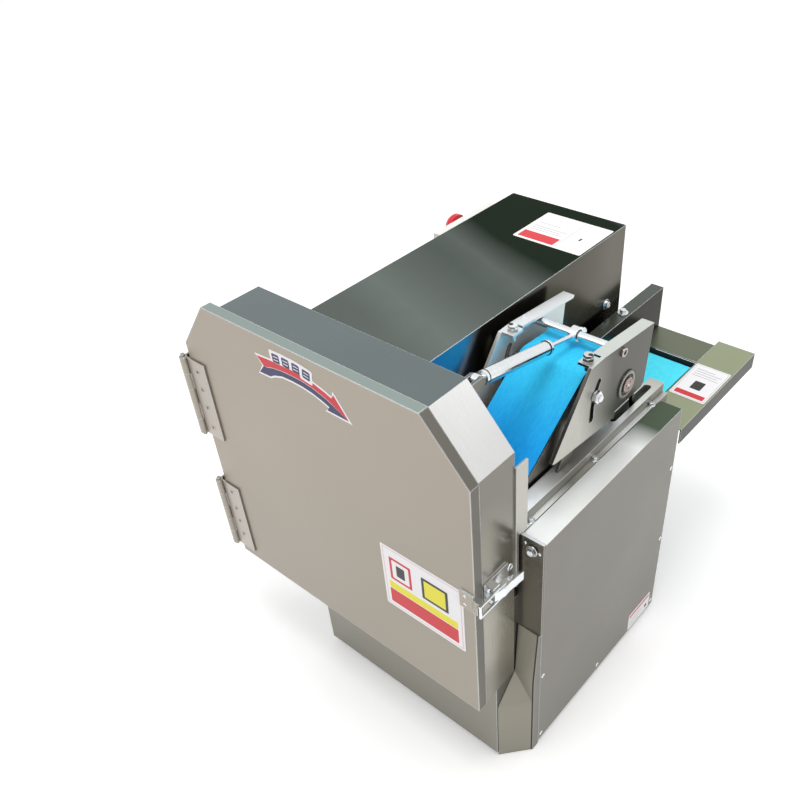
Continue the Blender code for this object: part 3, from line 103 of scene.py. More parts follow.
class CutterColours(bpy.types.PropertyGroup):
    """The colours of the cutter's finishes, many of them painted reflections, highlights and shade
    on chosen faces.
    """

    # Painted light on the door and hinges: the door's front darkens towards its lower right corner,
    # its flange's top has a green-grey painted reflection and the flange's sides a darker painted
    # tone, and the hinge leaves' fronts are lighter than their other faces
    door: paint("Door skin", 168, 159, 147, "The brushed door")
    door_low: paint("Door skin, low", 160, 153, 142, "The same near its lower right corner")
    flange_top: paint("Door flange, top", 142, 155, 150, "Top of the door's flange")
    leaf: paint("Hinge leaf", 176, 169, 160, "Front of the hinge leaves")
    flange: paint("Door flange", 109, 106, 99, "Sides of the door's flange")
    # Painted light on the blade housing: a darker painted reflection on its top, a painted
    # highlight on the chamfers, and bands of painted reflection and shade down its right side,
    # darker at the top and paler under the latch and at its low end
    housing_top: paint("Housing top", 106, 116, 117, "Top of the blade housing")
    chamfer: paint("Chamfer", 216, 216, 215, "The housing's sloping corners")
    housing_side: paint("Housing side", 142, 138, 127, "Middle of the housing's right side")
    side_high: paint("Housing side, high", 124, 121, 113, "Its darker top")
    side_pale: paint("Housing side, pale", 168, 164, 153, "A paler band under the latch")
    side_light: paint("Housing side, light", 141, 138, 127, "Its low end, and the base's front")
    # Painted reflections on the motor box: lighter and darker slanting bands on its top, dark
    # towards its rear edge, and on its side along the belts a bluish reflection of the press belt,
    # a darker mirror tone and a lighter far end
    box_top: paint("Motor box top", 106, 113, 108, "Top of the motor box")
    box_band: paint("Motor box top, bands", 96, 104, 99, "Darker slanting bands in it")
    box_crest: paint("Motor box top, light", 118, 127, 122, "A lighter slanting band in it")
    box_rear: paint("Motor box top, rear", 42, 52, 42, "The same near its rear edge")
    box_mirror: paint("Motor box, belt side", 97, 95, 89, "Its mirror side along the belts")
    box_glint: paint("Motor box, front", 150, 158, 176, "That side by the press belt")
    box_far: paint("Motor box, far end", 120, 117, 110, "Rear end of that side")
    box_side: paint("Motor box side", 122, 118, 110, "Sides of the motor box")
    cover_side: paint("Side cover", 124, 121, 113, "Right face of the side cover")
    # Painted light on the side cover's top strip: a white painted highlight at the front and middle
    # and a dark green painted reflection at the rear; its tones also paint the rail's top and the
    # left press plate's inner face
    cover_top: paint("Side cover top", 248, 250, 248, "Top strip at the front")
    cover_mid: paint("Side cover top, middle", 252, 254, 252, "Top strip at its middle")
    cover_dark: paint("Side cover top, rear", 70, 86, 66, "Top strip at the rear")
    front: paint("Front plate", 112, 108, 98, "Plate in front of the side cover")
    # Painted light on the infeed table: its top is lighter towards its right end
    table_light: paint("Infeed table, light", 152, 159, 130, "Its paler right end")
    table: paint("Infeed table", 110, 116, 97, "Infeed table and tail plate")
    # Painted light on the press plates: a pale painted highlight on the right plate's top flange,
    # and its face darkens into painted shade further to the rear
    plate: paint("Press side plate", 140, 139, 132, "Face of the press conveyor's plates")
    plate_top: paint("Press plate flange", 208, 212, 207, "Top flange of the right press plate")
    press: paint("Press side plate, dark", 80, 79, 73, "The same further to the rear")
    wing: paint("Feed mouth", 184, 182, 174, "Wings beside the feed mouth")
    # Painted light on the left guide: its sides are dark with painted shade and its top has a
    # painted reflection
    guide: paint("Guide", 60, 58, 54, "Sides of the left guide channel")
    guide_top: paint("Guide top", 94, 100, 93, "Its top")
    # Painted shade: the infeed table's right-facing edge
    lip: paint("Table lip", 56, 55, 52, "Right edge of the infeed table")
    # Painted light on the corner sheet: its faces that look to the front are lighter than the rest
    skirt: paint("Corner sheet", 144, 140, 128, "Sheet between base and side cover")
    skirt_front: paint("Corner sheet, front", 160, 156, 144, "The same where it faces the front")
    # Painted highlight: the press belt grows paler towards its upper roller
    belt_crest: paint("Press belt, crest", 60, 220, 255, "The press belt near its upper roller")
    # Also the painted highlight along folded edges, and on the tops of the front plate and the left
    # press plate
    bright: paint("Bright steel", 226, 229, 231, "Screws, rings and folded rims")
    rod: paint("Polished rod", 228, 231, 233, "Strut, cross rod and latch")
    steel: paint("Turned steel", 120, 118, 112, "Shafts, rollers and inner frames")
    shaft: paint("Worn shaft end", 156, 136, 126, "End of the press shaft")
    shade: paint("Oiled dark steel", 52, 50, 48, "Chains")
    belt: paint("Press belt", 8, 178, 255, "The press belt")
    belt_deep: paint("Press belt, weave", 0, 136, 244, "Its weave")
    belt_pale: paint("Feed belt", 92, 240, 255, "The feed belt")
    belt_shade: paint("Feed belt, weave", 50, 208, 250, "Its weave")
    rubber: paint("Rubber", 22, 22, 22, "Feet, bumper and drive belt")
    casting: paint("Painted casting", 62, 84, 98, "Motor, gearbox and bearing paint")
    red: paint("Red", 206, 30, 44, "Emergency stop and red print")
    navy: paint("Navy", 42, 40, 88, "Dark print of the door's arrow")
    yellow: paint("Yellow", 232, 222, 44, "Yellow print and collar")
    green: paint("Green", 26, 128, 58, "Start button")
    black: paint("Black", 26, 26, 26, "Black plastic and print")
    white: paint("White", 238, 236, 238, "White label stock")
    pink: paint("Pink", 222, 190, 196, "Border print of the door's label")
    grey: paint("Grey", 176, 178, 180, "Fine print rules on the labels")
    panel: paint("Panel paint", 226, 226, 222, "Control panel")


class CutterSizes(bpy.types.PropertyGroup):
    """The sizes of the cutter's small pieces."""

    fold: size("Fold highlight", 0.0013, "Reach of a folded edge's bright line")
    weave: size("Belt weave", 0.0030, "Pitch of the belts' diamond weave")
    screw: size("Screw head", 0.0078, "Diameter of the hinges' screws")
    bolt: size("Bolt head", 0.0110, "Width over a hexagon bolt's corners")
    label: size("Label thickness", 0.0003, "Thickness of the printed labels")


class CutterStage(bpy.types.PropertyGroup):
    """The stage round the cutter."""

    floor: paint("Floor", 250, 250, 250, "The pale floor")
    lens: FloatProperty(name="Focal length", description="The camera's focal length in millimetres",
                        default=38.23, min=10.0, max=200.0)
    sky: FloatProperty(name="Sky", description="Strength of the plain soft light from all sides",
                       default=0.80, min=0.0, max=4.0)
    key: watts("Key lamp", 5.0, "Power of the large lamp over the door")
    rear: watts("Rear lamp", 2.5, "Power of the lamp over the infeed side")
    top: watts("Top lamp", 17.0, "Power of the lamp over the belts")


def colours():
    """The colours as the user has set them."""
    return bpy.context.scene.cutter_colours


def sizes():
    """The small pieces' sizes as the user has set them."""
    return bpy.context.scene.cutter_sizes


# Shader maths


def both_ways(operation):
    """The methods of an operator with the link on its left, and on its right."""
    return (lambda link, other: link.math(operation, link, other),
            lambda link, other: link.math(operation, other, link))


class Link:
    """One shader socket that holds a value. Arithmetic on it adds Math nodes to its finish."""

    __add__, __radd__ = both_ways("ADD")
    __sub__, __rsub__ = both_ways("SUBTRACT")
    __mul__, __rmul__ = both_ways("MULTIPLY")
    __truediv__, __rtruediv__ = both_ways("DIVIDE")

    def __init__(self, finish, socket):
        self.finish = finish
        self.socket = socket

    def math(self, operation, *values):
        return self.finish.add("Math", {"operation": operation}, dict(enumerate(values)))

    def sine(self):
        return self.math("SINE", self)

    def swing(self, width):
        """Noise from 0 to 1 turned into a swing about 0, width wide."""
        return (self - 0.5) * width


class Finish:
    """A procedural material, or the world's look. Its nodes all come from add."""

    def __init__(self, name, holder=None):
        self.material = holder or bpy.data.materials.new(name)
        self.material.use_nodes = True
        self.tree = self.material.node_tree
        self.shader = self.tree.nodes.get("Principled BSDF")

    def add(self, kind, settings=None, values=None, out=0):
        """A node of this kind: settings, or a ramp's stops, come first, then values or links."""
        node = self.tree.nodes.new("ShaderNode" + kind)
        for key, setting in (settings or {}).items():
            if key == "stops":
                ramp = node.color_ramp.elements
                for element, (place, shade) in ((ramp[0], setting[0]), (ramp[1], setting[-1])):
                    element.position, element.color = place, (*shade, 1.0)
                for place, shade in setting[1:-1]:
                    ramp.new(place).color = (*shade, 1.0)
            else:
                setattr(node, key, setting)
        for key, value in (values or {}).items():
            self.put(node.inputs[key], value)
        return Link(self, node.outputs[out])

    def put(self, socket, value):
        """Links the socket to a Link, or sets its value."""
        if isinstance(value, Link):
            self.tree.links.new(value.socket, socket)
        elif isinstance(value, (tuple, list, Vector)) and socket.type == "RGBA":
            socket.default_value = (*tuple(value)[:3], 1.0)
        else:
            socket.default_value = value

    def shade(self, **values):
        """Sets the shader's own sockets: a number or colour stays on the socket."""
        for key, value in values.items():
            self.put(self.shader.inputs[key.replace("_", " ").title()], value)
        return self.material

    def place(self):
        return self.add("TexCoord", out="Object")

    def parts(self, vector):
        split = self.add("SeparateXYZ", None, {0: vector})
        node = split.socket.node
        return [Link(self, node.outputs[i]) for i in range(3)]

    def mix(self, share, first, second):
        return self.add("Mix", {"data_type": "RGBA"}, {0: share, 6: first, 7: second}, out=2)

    def scaled(self, vector, factor):
        return self.add("VectorMath", {"operation": "SCALE"}, {0: vector, 3: factor})

    def dot(self, first, second):
        return self.add("VectorMath", {"operation": "DOT_PRODUCT"}, {0: first, 1: second},
                        out="Value")

    def ramp(self, value, low, high, first=0.0, last=1.0):
        """The value from low to high as a smooth share from first to last."""
        return self.add("MapRange", {"interpolation_type": "SMOOTHSTEP"},
                        {0: value, 1: low, 2: high, 3: first, 4: last})

    def noise(self, stretch, detail=2.0, rough=0.5):
        """Noise whose pattern repeats stretch times a metre along X, Y and Z."""
        vector = self.add("VectorMath", {"operation": "MULTIPLY"}, {0: self.place(), 1: stretch})
        return self.add("TexNoise", None, {"Vector": vector, "Scale": 1.0, "Detail": detail,
                                           "Roughness": rough})

    def tones(self, along, stops, wobble):
        """Colours that change along a direction. stops are (metres from the machine's origin,
        colour), and noise shifts them by up to wobble metres."""
        low, high = stops[0][0], stops[-1][0]
        where = self.dot(self.place(), along) - (SHIFT.dot(along) + low)
        where = where + self.noise((7, 7, 7), 2.0).swing(2 * wobble)
        marks = [((place - low) / (high - low), tuple(colour)) for place, colour in stops]
        return self.add("ValToRGB", {"stops": marks}, {"Fac": where / (high - low)})

    def facing(self, direction):
        """1 where the surface of the piece faces the direction, 0 elsewhere."""
        return self.ramp(self.dot(self.add("TexCoord", out="Normal"), direction), *FACING)

    def folds(self, radius):
        """The rounded normal near the piece's edges, and 1 on those edges, 0 elsewhere, where a
        painted highlight goes.
        """
        rounded = self.add("Bevel", {"samples": 4}, {"Radius": radius})
        flat = self.add("NewGeometry", out="Normal")
        return rounded, self.ramp(1 - self.dot(rounded, flat), *FOLDING)

    def bump(self, height, depth, normal=None):
        values = {"Height": height, "Strength": 1.0, "Distance": depth}
        if normal:
            values["Normal"] = normal
        return self.add("Bump", None, values)


def sheet_metal(name, base, faces=(), *, rough, cloud, grain=(30, 30, 1400), fold=None,
                streak=0.05, wear_and_sheen=0.95, metallic=0.80, tint=1.0):
    """Brushed sheet. faces are (direction, colour) or (direction, along, stops, wobble): the
    painted reflections and shade for each way that a face looks. The tone swings by cloud in
    patches and by streak in brush lines; the argument after streak is how strong the painted
    highlight along the folds is."""
    finish = Finish(name + " sheet")
    shade = tuple(base)
    # Painted reflections and shade: each facing direction gets a tone of its own, or bands of tones
    # along a direction
    for direction, *look in faces:
        there = tuple(look[0]) if len(look) == 1 else finish.tones(*look)
        shade = finish.mix(finish.facing(direction), shade, there)
    clouds = finish.noise((7, 7, 7), 3.0)
    brush = finish.noise(grain, 3.0, 0.6)
    shade = finish.scaled(shade, 1 + clouds.swing(2 * cloud) + brush.swing(2 * streak))
    # Painted highlight: a pale line mixed into the colour along the folded edges, as strong as the
    # argument after streak
    rounded, on_fold = finish.folds(fold or sizes().fold)
    shade = finish.mix(on_fold * wear_and_sheen, shade, tuple(colours().bright))
    roughness = rough + clouds.swing(0.16) + brush.swing(0.10)
    return finish.shade(base_color=shade, metallic=metallic, roughness=roughness,
                        specular_tint=(tint,) * 3, normal=finish.bump(brush, 0.00004, rounded))


def bright_metal(name, base, rough):
    """Polished or turned steel with fine mottled wear and a painted highlight along its edges."""
    finish = Finish(name)
    wear = finish.noise((240, 240, 240), 3.0, 0.6)
    soft = finish.noise((26, 26, 26), 2.0)
    rounded, on_fold = finish.folds(FINE_FOLD)
    shade = finish.scaled(tuple(base), 0.90 + wear * 0.14 + soft * 0.10)
    # Painted highlight: a pale line mixed into the colour along the edges
    shade = finish.mix(on_fold * 0.6, shade, tuple(colours().bright))
    return finish.shade(base_color=shade, metallic=1.0, roughness=rough + wear.swing(0.14),
                        normal=finish.bump(wear, 0.00002, rounded))


def belting(name, base, deep, along, pitch, crest=None):
    """Belt fabric with a fine diamond weave; along is the direction in which the belt runs.
    crest is (colour, start, end): a painted highlight, a paler tone that grows from start to end
    along the belt towards its upper roller."""
    finish = Finish(name)
    place = finish.place()
    turns = 2 * math.pi / pitch
    side = finish.parts(place)[0] * turns
    run = finish.dot(place, along) * turns
    weave = (side + run).sine() * (side - run).sine()
    clouds = finish.noise((9, 9, 9), 3.0)
    fuzz = finish.noise((900, 900, 900), 2.0)
    streaks = finish.noise((260, 90, 90), 3.0, 0.6)
    share = 0.30 + weave * 0.42 + clouds.swing(0.40) + fuzz.swing(0.6) + streaks.swing(1.1)
    shade = finish.mix(share, tuple(base), tuple(deep))
    # Painted highlight: the belt grows paler towards its upper roller
    if crest:
        pale, start, end = crest
        lift = finish.ramp(finish.dot(place, along) - SHIFT.dot(along), start, end)
        shade = finish.mix(lift * (0.9 - share * 0.6), shade, tuple(pale))
    height = weave + fuzz * 0.6
    finish.put(finish.shader.inputs["Specular IOR Level"], 0.2)
    return finish.shade(base_color=shade, roughness=0.55 + fuzz.swing(0.2), metallic=0.0,
                        normal=finish.bump(height, 0.00018))


def moulded(name, base, rough, grain=700, depth=0.00005, mottle=0.10):
    """Plastic, rubber, paint or print with a fine grain."""
    finish = Finish(name)
    fine = finish.noise((grain,) * 3, 2.0)
    wide = finish.noise((22, 22, 22), 3.0)
    shade = finish.scaled(tuple(base), 1 - mottle + (wide + fine) * mottle)
    return finish.shade(base_color=shade, metallic=0.0, roughness=rough + fine.swing(0.18),
                        normal=finish.bump(fine, depth))


# Pieces


def at(x, y, z):
    """A point given in millimetres of the machine's own coordinates."""
    return Vector((x, y, z)) / 1000 + SHIFT


def round_press(x, reach, degrees):
    """The point at this reach and angle round the press conveyor's axis, in millimetres."""
    t = math.radians(degrees)
    return at(x, PRESS_AXIS[0] + reach * math.cos(t), PRESS_AXIS[1] + reach * math.sin(t))


def dress(node, material):
    """Gives a CAD node a finish by its material slots."""
    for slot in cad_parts[node].material_slots:
        slot.material = material


def clad(node, *look, **finish):
    """Gives a CAD node a finish of brushed sheet."""
    dress(node, sheet_metal(*look, **finish))


class Form:
    """A mesh built from closed shapes, each with its own finish, which rides on one body."""

    def __init__(self, name, body):
        self.name = name
        self.body = body
        self.mesh = bmesh.new()
        self.materials = []

    def index(self, material):
        if material not in self.materials:
            self.materials.append(material)
        return self.materials.index(material)

    def closed(self, verts, faces, material):
        """A closed shape from points and faces, its normals turned outwards."""
        made = [self.mesh.verts.new(v) for v in verts]
        slot = self.index(material)
        shape = []
        for face in faces:
            shape.append(self.mesh.faces.new([made[i] for i in face]))
            shape[-1].material_index = slot
        bmesh.ops.recalc_face_normals(self.mesh, faces=shape)

    def loft(self, rings, material):
        """A closed shape through outlines with the same number of points."""
        n = len(rings[0])
        last = n * (len(rings) - 1)
        faces = [list(range(n)), list(range(last + n - 1, last - 1, -1))]
        faces += [[low + i, low + (i + 1) % n, low + n + (i + 1) % n, low + n + i]
                  for low in range(0, last, n) for i in range(n)]
        self.closed([Vector(p) for ring in rings for p in ring], faces, material)

    def slab(self, outline, push, material):
        """The flat outline pushed along push, closed at both ends."""
        self.loft([outline, [Vector(p) + push for p in outline]], material)

    def ring_slab(self, outer, inner, push, material):
        """A slab with a hole; outer and inner are outlines with the same number of points."""
        n = len(outer)
        low = outer + inner
        verts = low + [p + push for p in low]
        faces = []
        for i in range(n):
            j = (i + 1) % n
            for near, far in ((0, n), (0, 2 * n), (n, 3 * n), (2 * n, 3 * n)):
                faces.append([near + i, near + j, far + j, far + i])
        self.closed(verts, faces, material)

    def lathe(self, centre, axis, profile, material, sides, turn=0.0):
        """The profile of (radius, height) turned about axis. It closes at radius 0 or as a ring."""
        axis = axis.normalized()
        side = axis.orthogonal().normalized()
        other = axis.cross(side)
        verts, rings = [], []
        for radius, height in profile:
            if not radius:
                rings.append([len(verts)])
                verts.append(centre + axis * height)
                continue
            rings.append(list(range(len(verts), len(verts) + sides)))
            for i in range(sides):
                t = turn + 2 * math.pi * i / sides
                spoke = side * math.cos(t) + other * math.sin(t)
                verts.append(centre + axis * height + spoke * radius)
        pairs = list(zip(rings, rings[1:]))
        if len(rings[0]) > 1 and len(rings[-1]) > 1:
            pairs.append((rings[-1], rings[0]))
        faces = []
        for low, high in pairs:
            for i in range(sides):
                j = (i + 1) % sides
                face = [low[i % len(low)], low[j % len(low)],
                        high[j % len(high)], high[i % len(high)]]
                faces.append(list(dict.fromkeys(face)))
        self.closed(verts, faces, material)

    def done(self, smooth=32.0, bevel=0.0):
        """Makes the object, rounds its edges by bevel and hangs it on its body."""
        mesh = bpy.data.meshes.new(self.name)
        self.mesh.to_mesh(mesh)
        self.mesh.free()
        for material in self.materials:
            mesh.materials.append(material)
        made = bpy.data.objects.new(self.name, mesh)
        bpy.context.scene.collection.objects.link(made)
        if bevel:
            step = made.modifiers.new("edges", "BEVEL")
            step.width = bevel
            step.segments = 2
            step.limit_method = "ANGLE"
            step.angle_limit = math.radians(40)
        mesh.shade_smooth()
        mesh.set_sharp_from_angle(angle=math.radians(smooth))
        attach(made, self.body)


def round_outline(width, height, radius, steps=4):
    """The outline of a rectangle from (0, 0) with round corners."""
    outline = []
    corners = ((width - radius, height - radius, 0), (radius, height - radius, 90),
               (radius, radius, 180), (width - radius, radius, 270))
    for x, y, start in corners:
        for i in range(steps + 1):
            t = math.radians(start + 90 * i / steps)
            outline.append((x + radius * math.cos(t), y + radius * math.sin(t)))
    return outline


def millimetres(profile):
    """A profile written in millimetres, in metres."""
    return [(radius / 1000, height / 1000) for radius, height in profile]


def hex_bolt(form, centre, axis, across, height, material, turn=0.0):
    """A hexagon head with its rounded top, on a washer."""
    washer = [(across * 0.30, 0), (across * 0.78, 0), (across * 0.80, 0.0005),
              (across * 0.78, 0.0011), (across * 0.30, 0.0011)]
    form.lathe(centre, axis, washer, material, 24)
    base, half = 0.0010, across * 0.5
    head = [(0, base), (half, base), (half, base + height * 0.86), (half * 0.90, base + height),
            (0, base + height)]
    form.lathe(centre, axis, head, material, 6, turn)


def domed_screw(form, centre, axis, width, material, dark, height=None, recess=0.42):
    """A domed head with a cross recess, drawn as two dark slabs of painted shade."""
    half = width * 0.5
    height = height or half * 0.62
    dome = [(0, -0.0002), (half, -0.0002), (half, height * 0.30), (half * 0.86, height * 0.66),
            (half * 0.55, height * 0.92), (0, height)]
    form.lathe(centre, axis, dome, material, 20)
    side = axis.orthogonal().normalized()
    other = axis.cross(side)
    top = centre + axis * (height * 0.90)
    for along, wide in ((side, other), (other, side)):
        reach, thin = half * recess, half * recess * 0.26
        outline = [top + along * reach * u + wide * thin * v
                   for u, v in ((-1, -1), (1, -1), (1, 1), (-1, 1))]
        form.slab(outline, axis * (height * 0.13), dark)


def socket_screw(form, centre, axis, width, height, material, dark):
    """A round head with a hexagon socket, whose inside is a dark block of painted shade."""
    half = width * 0.5
    hole = half * 0.52
    rim = [(hole, 0), (half, 0), (half, height * 0.85), (half * 0.9, height), (hole, height)]
    form.lathe(centre, axis, rim, material, 24)
    wide, deep = hole * 1.02, height * 0.35
    form.lathe(centre, axis, [(0, 0), (wide, 0), (wide, deep), (0, deep)], dark, 6)


def ring(form, centre, axis, inner, outer, low, high, material, sides=40):
    """A flat ring with a small chamfer, in millimetres."""
    edge = min(0.4, (outer - inner) * 0.25, (high - low) * 0.4)
    profile = [(inner, low), (outer, low), (outer, high - edge), (outer - edge, high),
               (inner + edge, high), (inner, high - edge)]
    form.lathe(centre, axis, millimetres(profile), material, sides)


# Operators

# The photograph's camera: where it stands, where it looks, its roll in radians and its shift
EYE, AIM = Vector((0.64035, -0.8128, 1.1425)), Vector((-0.07955, -0.0240, 0.258))
ROLL = -0.0632
LENS_SHIFT = (-0.0592, 0.0557)
# Each lamp's place, the point that it faces and its width
LAMPS = {"key": ((-0.9, -1.6, 2.3), (0, 0, 0.3), 1.4),
         "rear": ((1.3, 1.5, 2.0), (0, 0.1, 0.4), 1.2),
         "top": ((0.12, -0.30, 2.4), (0.12, 0, 0.4), 1.0)}
FLOOR_RADIUS = 9.0
FLOOR_GLOW = 0.22


class CUTTER_OT_stage(bpy.types.Operator):
    """Pale floor, soft lamps and the camera"""

    bl_idname = "cutter.stage"
    bl_label = "Stage"

    def execute(self, context):
        stage = context.scene.cutter_stage
        self.world(context.scene, stage)
        self.floor(context.scene, stage)
        for name, (place, target, width) in LAMPS.items():
            self.lamp(name + "_lamp", place, target, width, getattr(stage, name))
        self.camera(context.scene, stage)
        return {"FINISHED"}

    def world(self, scene, stage):
        """White to the camera and in mirrors, plain soft light for the surfaces."""
        scene.world = bpy.data.worlds.new("studio")
        finish = Finish("studio", scene.world)
        rays = [finish.add("LightPath", out="Is %s Ray" % kind)
                for kind in ("Camera", "Glossy", "Transmission")]
        strength = finish.ramp(rays[0] + rays[1] + rays[2], 0.0, 1.0, stage.sky, 1.0)
        light = finish.add("Background", None, {"Color": (1.0, 1.0, 1.0), "Strength": strength})
        finish.put(finish.tree.nodes["World Output"].inputs["Surface"], light)

    def floor(self, scene, stage):
        """A wide disc with a soft glow for the camera and mirrors: white outside the shadow."""
        finish = Finish("floor")
        seen = (finish.add("LightPath", out="Is Camera Ray")
                + finish.add("LightPath", out="Is Glossy Ray"))
        grain = finish.noise((60, 60, 60), 2.0)
        shade = finish.scaled(tuple(stage.floor), 0.99 + grain * 0.02)
        finish.shade(base_color=shade, roughness=0.9)
        plain = Link(finish, finish.shader.outputs[0])
        glow = finish.add("Emission", None, {"Color": (1.0, 1.0, 1.0), "Strength": FLOOR_GLOW})
        both = finish.add("AddShader", None, {0: plain, 1: glow})
        lit = finish.add("MixShader", None, {0: seen, 1: plain, 2: both})
        finish.put(finish.tree.nodes["Material Output"].inputs["Surface"], lit)
        mesh = bmesh.new()
        bmesh.ops.create_circle(mesh, cap_ends=True, segments=96, radius=FLOOR_RADIUS)
        data = bpy.data.meshes.new("floor")
        mesh.to_mesh(data)
        mesh.free()
        data.materials.append(finish.material)
        disc = bpy.data.objects.new("floor", data)
        scene.collection.objects.link(disc)

    def lamp(self, name, place, target, width, power):
        light = bpy.data.lights.new(name, "AREA")
        light.shape = "DISK"
        light.size = width
        light.energy = power
        lamp = bpy.data.objects.new(name, light)
        lamp.location = place
        lamp.rotation_euler = (Vector(place) - Vector(target)).to_track_quat("Z", "Y").to_euler()
        bpy.context.scene.collection.objects.link(lamp)

    def camera(self, scene, stage):
        """The photograph's viewing angle."""
        back = (EYE - AIM).normalized()
        side = UP.cross(back).normalized()
        top = back.cross(side)
        c, s = math.cos(ROLL), math.sin(ROLL)
        side, top = side * c + top * s, top * c - side * s
        data = bpy.data.cameras.new("camera")
        data.lens = stage.lens
        data.shift_x, data.shift_y = LENS_SHIFT
        data.clip_start = 0.05
        camera = bpy.data.objects.new("camera", data)
        turned = Matrix((side, top, back)).transposed().to_4x4()
        camera.matrix_world = Matrix.Translation(EYE) @ turned
        scene.collection.objects.link(camera)
        scene.camera = camera
        scene.view_settings.view_transform = "Standard"


class CUTTER_OT_sheets(bpy.types.Operator):
    """Finishes of the folded sheet pieces and the control panel"""

    bl_idname = "cutter.sheets"
    bl_label = "Sheet metal"

    def execute(self, context):
        c = colours()
        self.blade_end(c)
        self.boxes(c)
        self.conveyor(c)
        dress("control_panel", moulded("panel paint", c.panel, 0.40, 500, 0.00006, 0.05))
        return {"FINISHED"}

    def blade_end(self, c):
        """Door, hinges, blade housing and feed mouth."""
        # Painted light: the front darkens towards its lower right corner as painted shade, the
        # flange's top takes a green-grey painted reflection and its sides a darker painted tone
        towards_top_left = Vector((-0.447, 0, 0.894))
        skin = [(0.24, c.door_low), (0.40, c.door_low), (0.62, c.door)]
        clad("door", "door", c.flange,
             [(FRONT, towards_top_left, skin, 0.03), (UP, c.flange_top)],
             rough=0.42, grain=(900, 30, 30), cloud=0.02, streak=0.02, fold=0.0023)
        # Painted light: the leaves' fronts take a lighter tone than their other faces, and a wider
        # painted highlight runs along the knuckles' edges
        leaf = sheet_metal("hinge", c.door_low, [(FRONT, c.leaf)],
                           rough=0.30, grain=(20, 20, 600), cloud=0.06, fold=0.0012)
        for node in ("upper_hinge_bracket", "lower_hinge_bracket", "upper_door_leaf",
                     "lower_door_leaf"):
            dress(node, leaf)
        # Painted light: a darker painted reflection on the top, a painted highlight on both
        # chamfers, and bands of painted reflection and shade up the right side
        slope = Vector((0.72, 0, 0.69)).normalized()
        left_slope = Vector((-slope.x, 0, slope.z))
        side = [(0.15, c.side_light), (0.20, c.side_light), (0.24, c.side_pale),
                (0.31, c.side_pale), (0.37, c.housing_side), (0.43, c.housing_side),
                (0.475, c.side_high)]
        clad("blade_housing", "housing", c.housing_side,
             [(UP, c.housing_top), (slope, c.chamfer), (left_slope, c.chamfer),
              (RIGHT, (REAR * 0.45 + UP).normalized(), side, 0.03)],
             rough=0.24, grain=(30, 900, 30), cloud=0.08)
        clad("feed_mouth", "mouth", c.wing, rough=0.30, grain=(20, 20, 700), cloud=0.08)

    def boxes(self, c):
        """Motor box, base, side cover and the plate in front of it."""
        # Painted reflections: slanting lighter and darker bands on the top, dark near its rear
        # edge, and on the side along the belts a bluish reflection of the press belt, then a darker
        # mirror tone and a lighter far end
        slant = Vector((0.35, 1.0, 0)).normalized()
        top = [(-0.03, c.box_top), (0.05, c.box_top), (0.11, c.box_crest), (0.17, c.box_top),
               (0.22, c.box_band), (0.26, c.box_top), (0.32, c.box_rear), (0.48, c.box_rear),
               (0.51, c.box_band)]
        belt_side = [(0.08, c.box_glint), (0.20, c.box_glint), (0.226, c.box_mirror),
                     (0.44, c.box_mirror), (0.55, c.box_far)]
        clad("motor_box", "motor box", c.box_side,
             [(UP, slant, top, 0.018), (RIGHT, REAR, belt_side, 0.006)],
             rough=0.20, grain=(900, 20, 20), cloud=0.10, fold=0.0016, metallic=1.0, tint=0.5)
        # Painted light: the base's front is lighter than its other faces
        clad("base_frame", "base", c.flange, [(FRONT, c.side_light)],
             rough=0.34, grain=(20, 20, 700), cloud=0.06)
        # Painted light on the top strip: a white painted highlight at the front and middle, a dark
        # green painted reflection at the rear
        strip = [(0.09, c.cover_top), (0.26, c.cover_mid), (0.31, c.cover_mid),
                 (0.36, c.cover_dark), (0.42, c.cover_dark)]
        clad("side_cover", "cover", c.cover_side, [(UP, REAR, strip, 0.008)], rough=0.38,
             grain=(20, 20, 900), cloud=0.03, streak=0.02, fold=0.0014, metallic=0.6)
        # Painted highlight on the plate's top face
        clad("front_plate", "front plate", c.front, [(UP, c.bright)],
             rough=0.28, cloud=0.12, fold=0.0007)

    def conveyor(self, c):
        """Infeed table, left guide and the press conveyor's plates."""
        # Painted light: the table's top lightens towards its right end and its right-facing edge is
        # painted shade
        end = [(-0.075, c.table), (-0.045, c.table_light), (0.035, c.table_light)]
        table_faces = [(UP, RIGHT, end, 0.012), (RIGHT, c.lip)]
        for node, faces in (("feed_table", table_faces), ("tail_plate", [])):
            clad(node, node, c.table, faces,
                 rough=0.36, grain=(20, 900, 20), cloud=0.08, fold=0.0013)
        # Painted light: the sides are dark with painted shade and the top has its own painted
        # reflection tone
        clad("left_guide", "guide", c.guide, [(UP, c.guide_top)],
             rough=0.24, grain=(400, 10, 400), cloud=0.12, fold=0.0014, tint=0.6)
        # Painted light: a pale painted highlight on the top flange, and the face lightens towards
        # the front and darkens into painted shade towards the rear
        lean = Vector((0, 1.0, 0.25)).normalized()
        ground = [(0.26, c.wing), (0.33, c.wing), (0.37, c.plate), (0.42, c.press),
                  (0.54, c.press)]
        clad("right_press_plate", "right press plate", c.press,
             [(UP, c.plate_top), (RIGHT, lean, ground, 0.03)],
             rough=0.30, grain=(20, 500, 40), cloud=0.12, fold=0.0010)
        # Painted light: a painted highlight on the top and a white painted reflection on the inner
        # face
        clad("left_press_plate", "left press plate", c.wing,
             [(UP, c.bright), (RIGHT, c.cover_top)],
             rough=0.34, grain=(20, 500, 40), cloud=0.10, fold=0.0010, metallic=0.5)


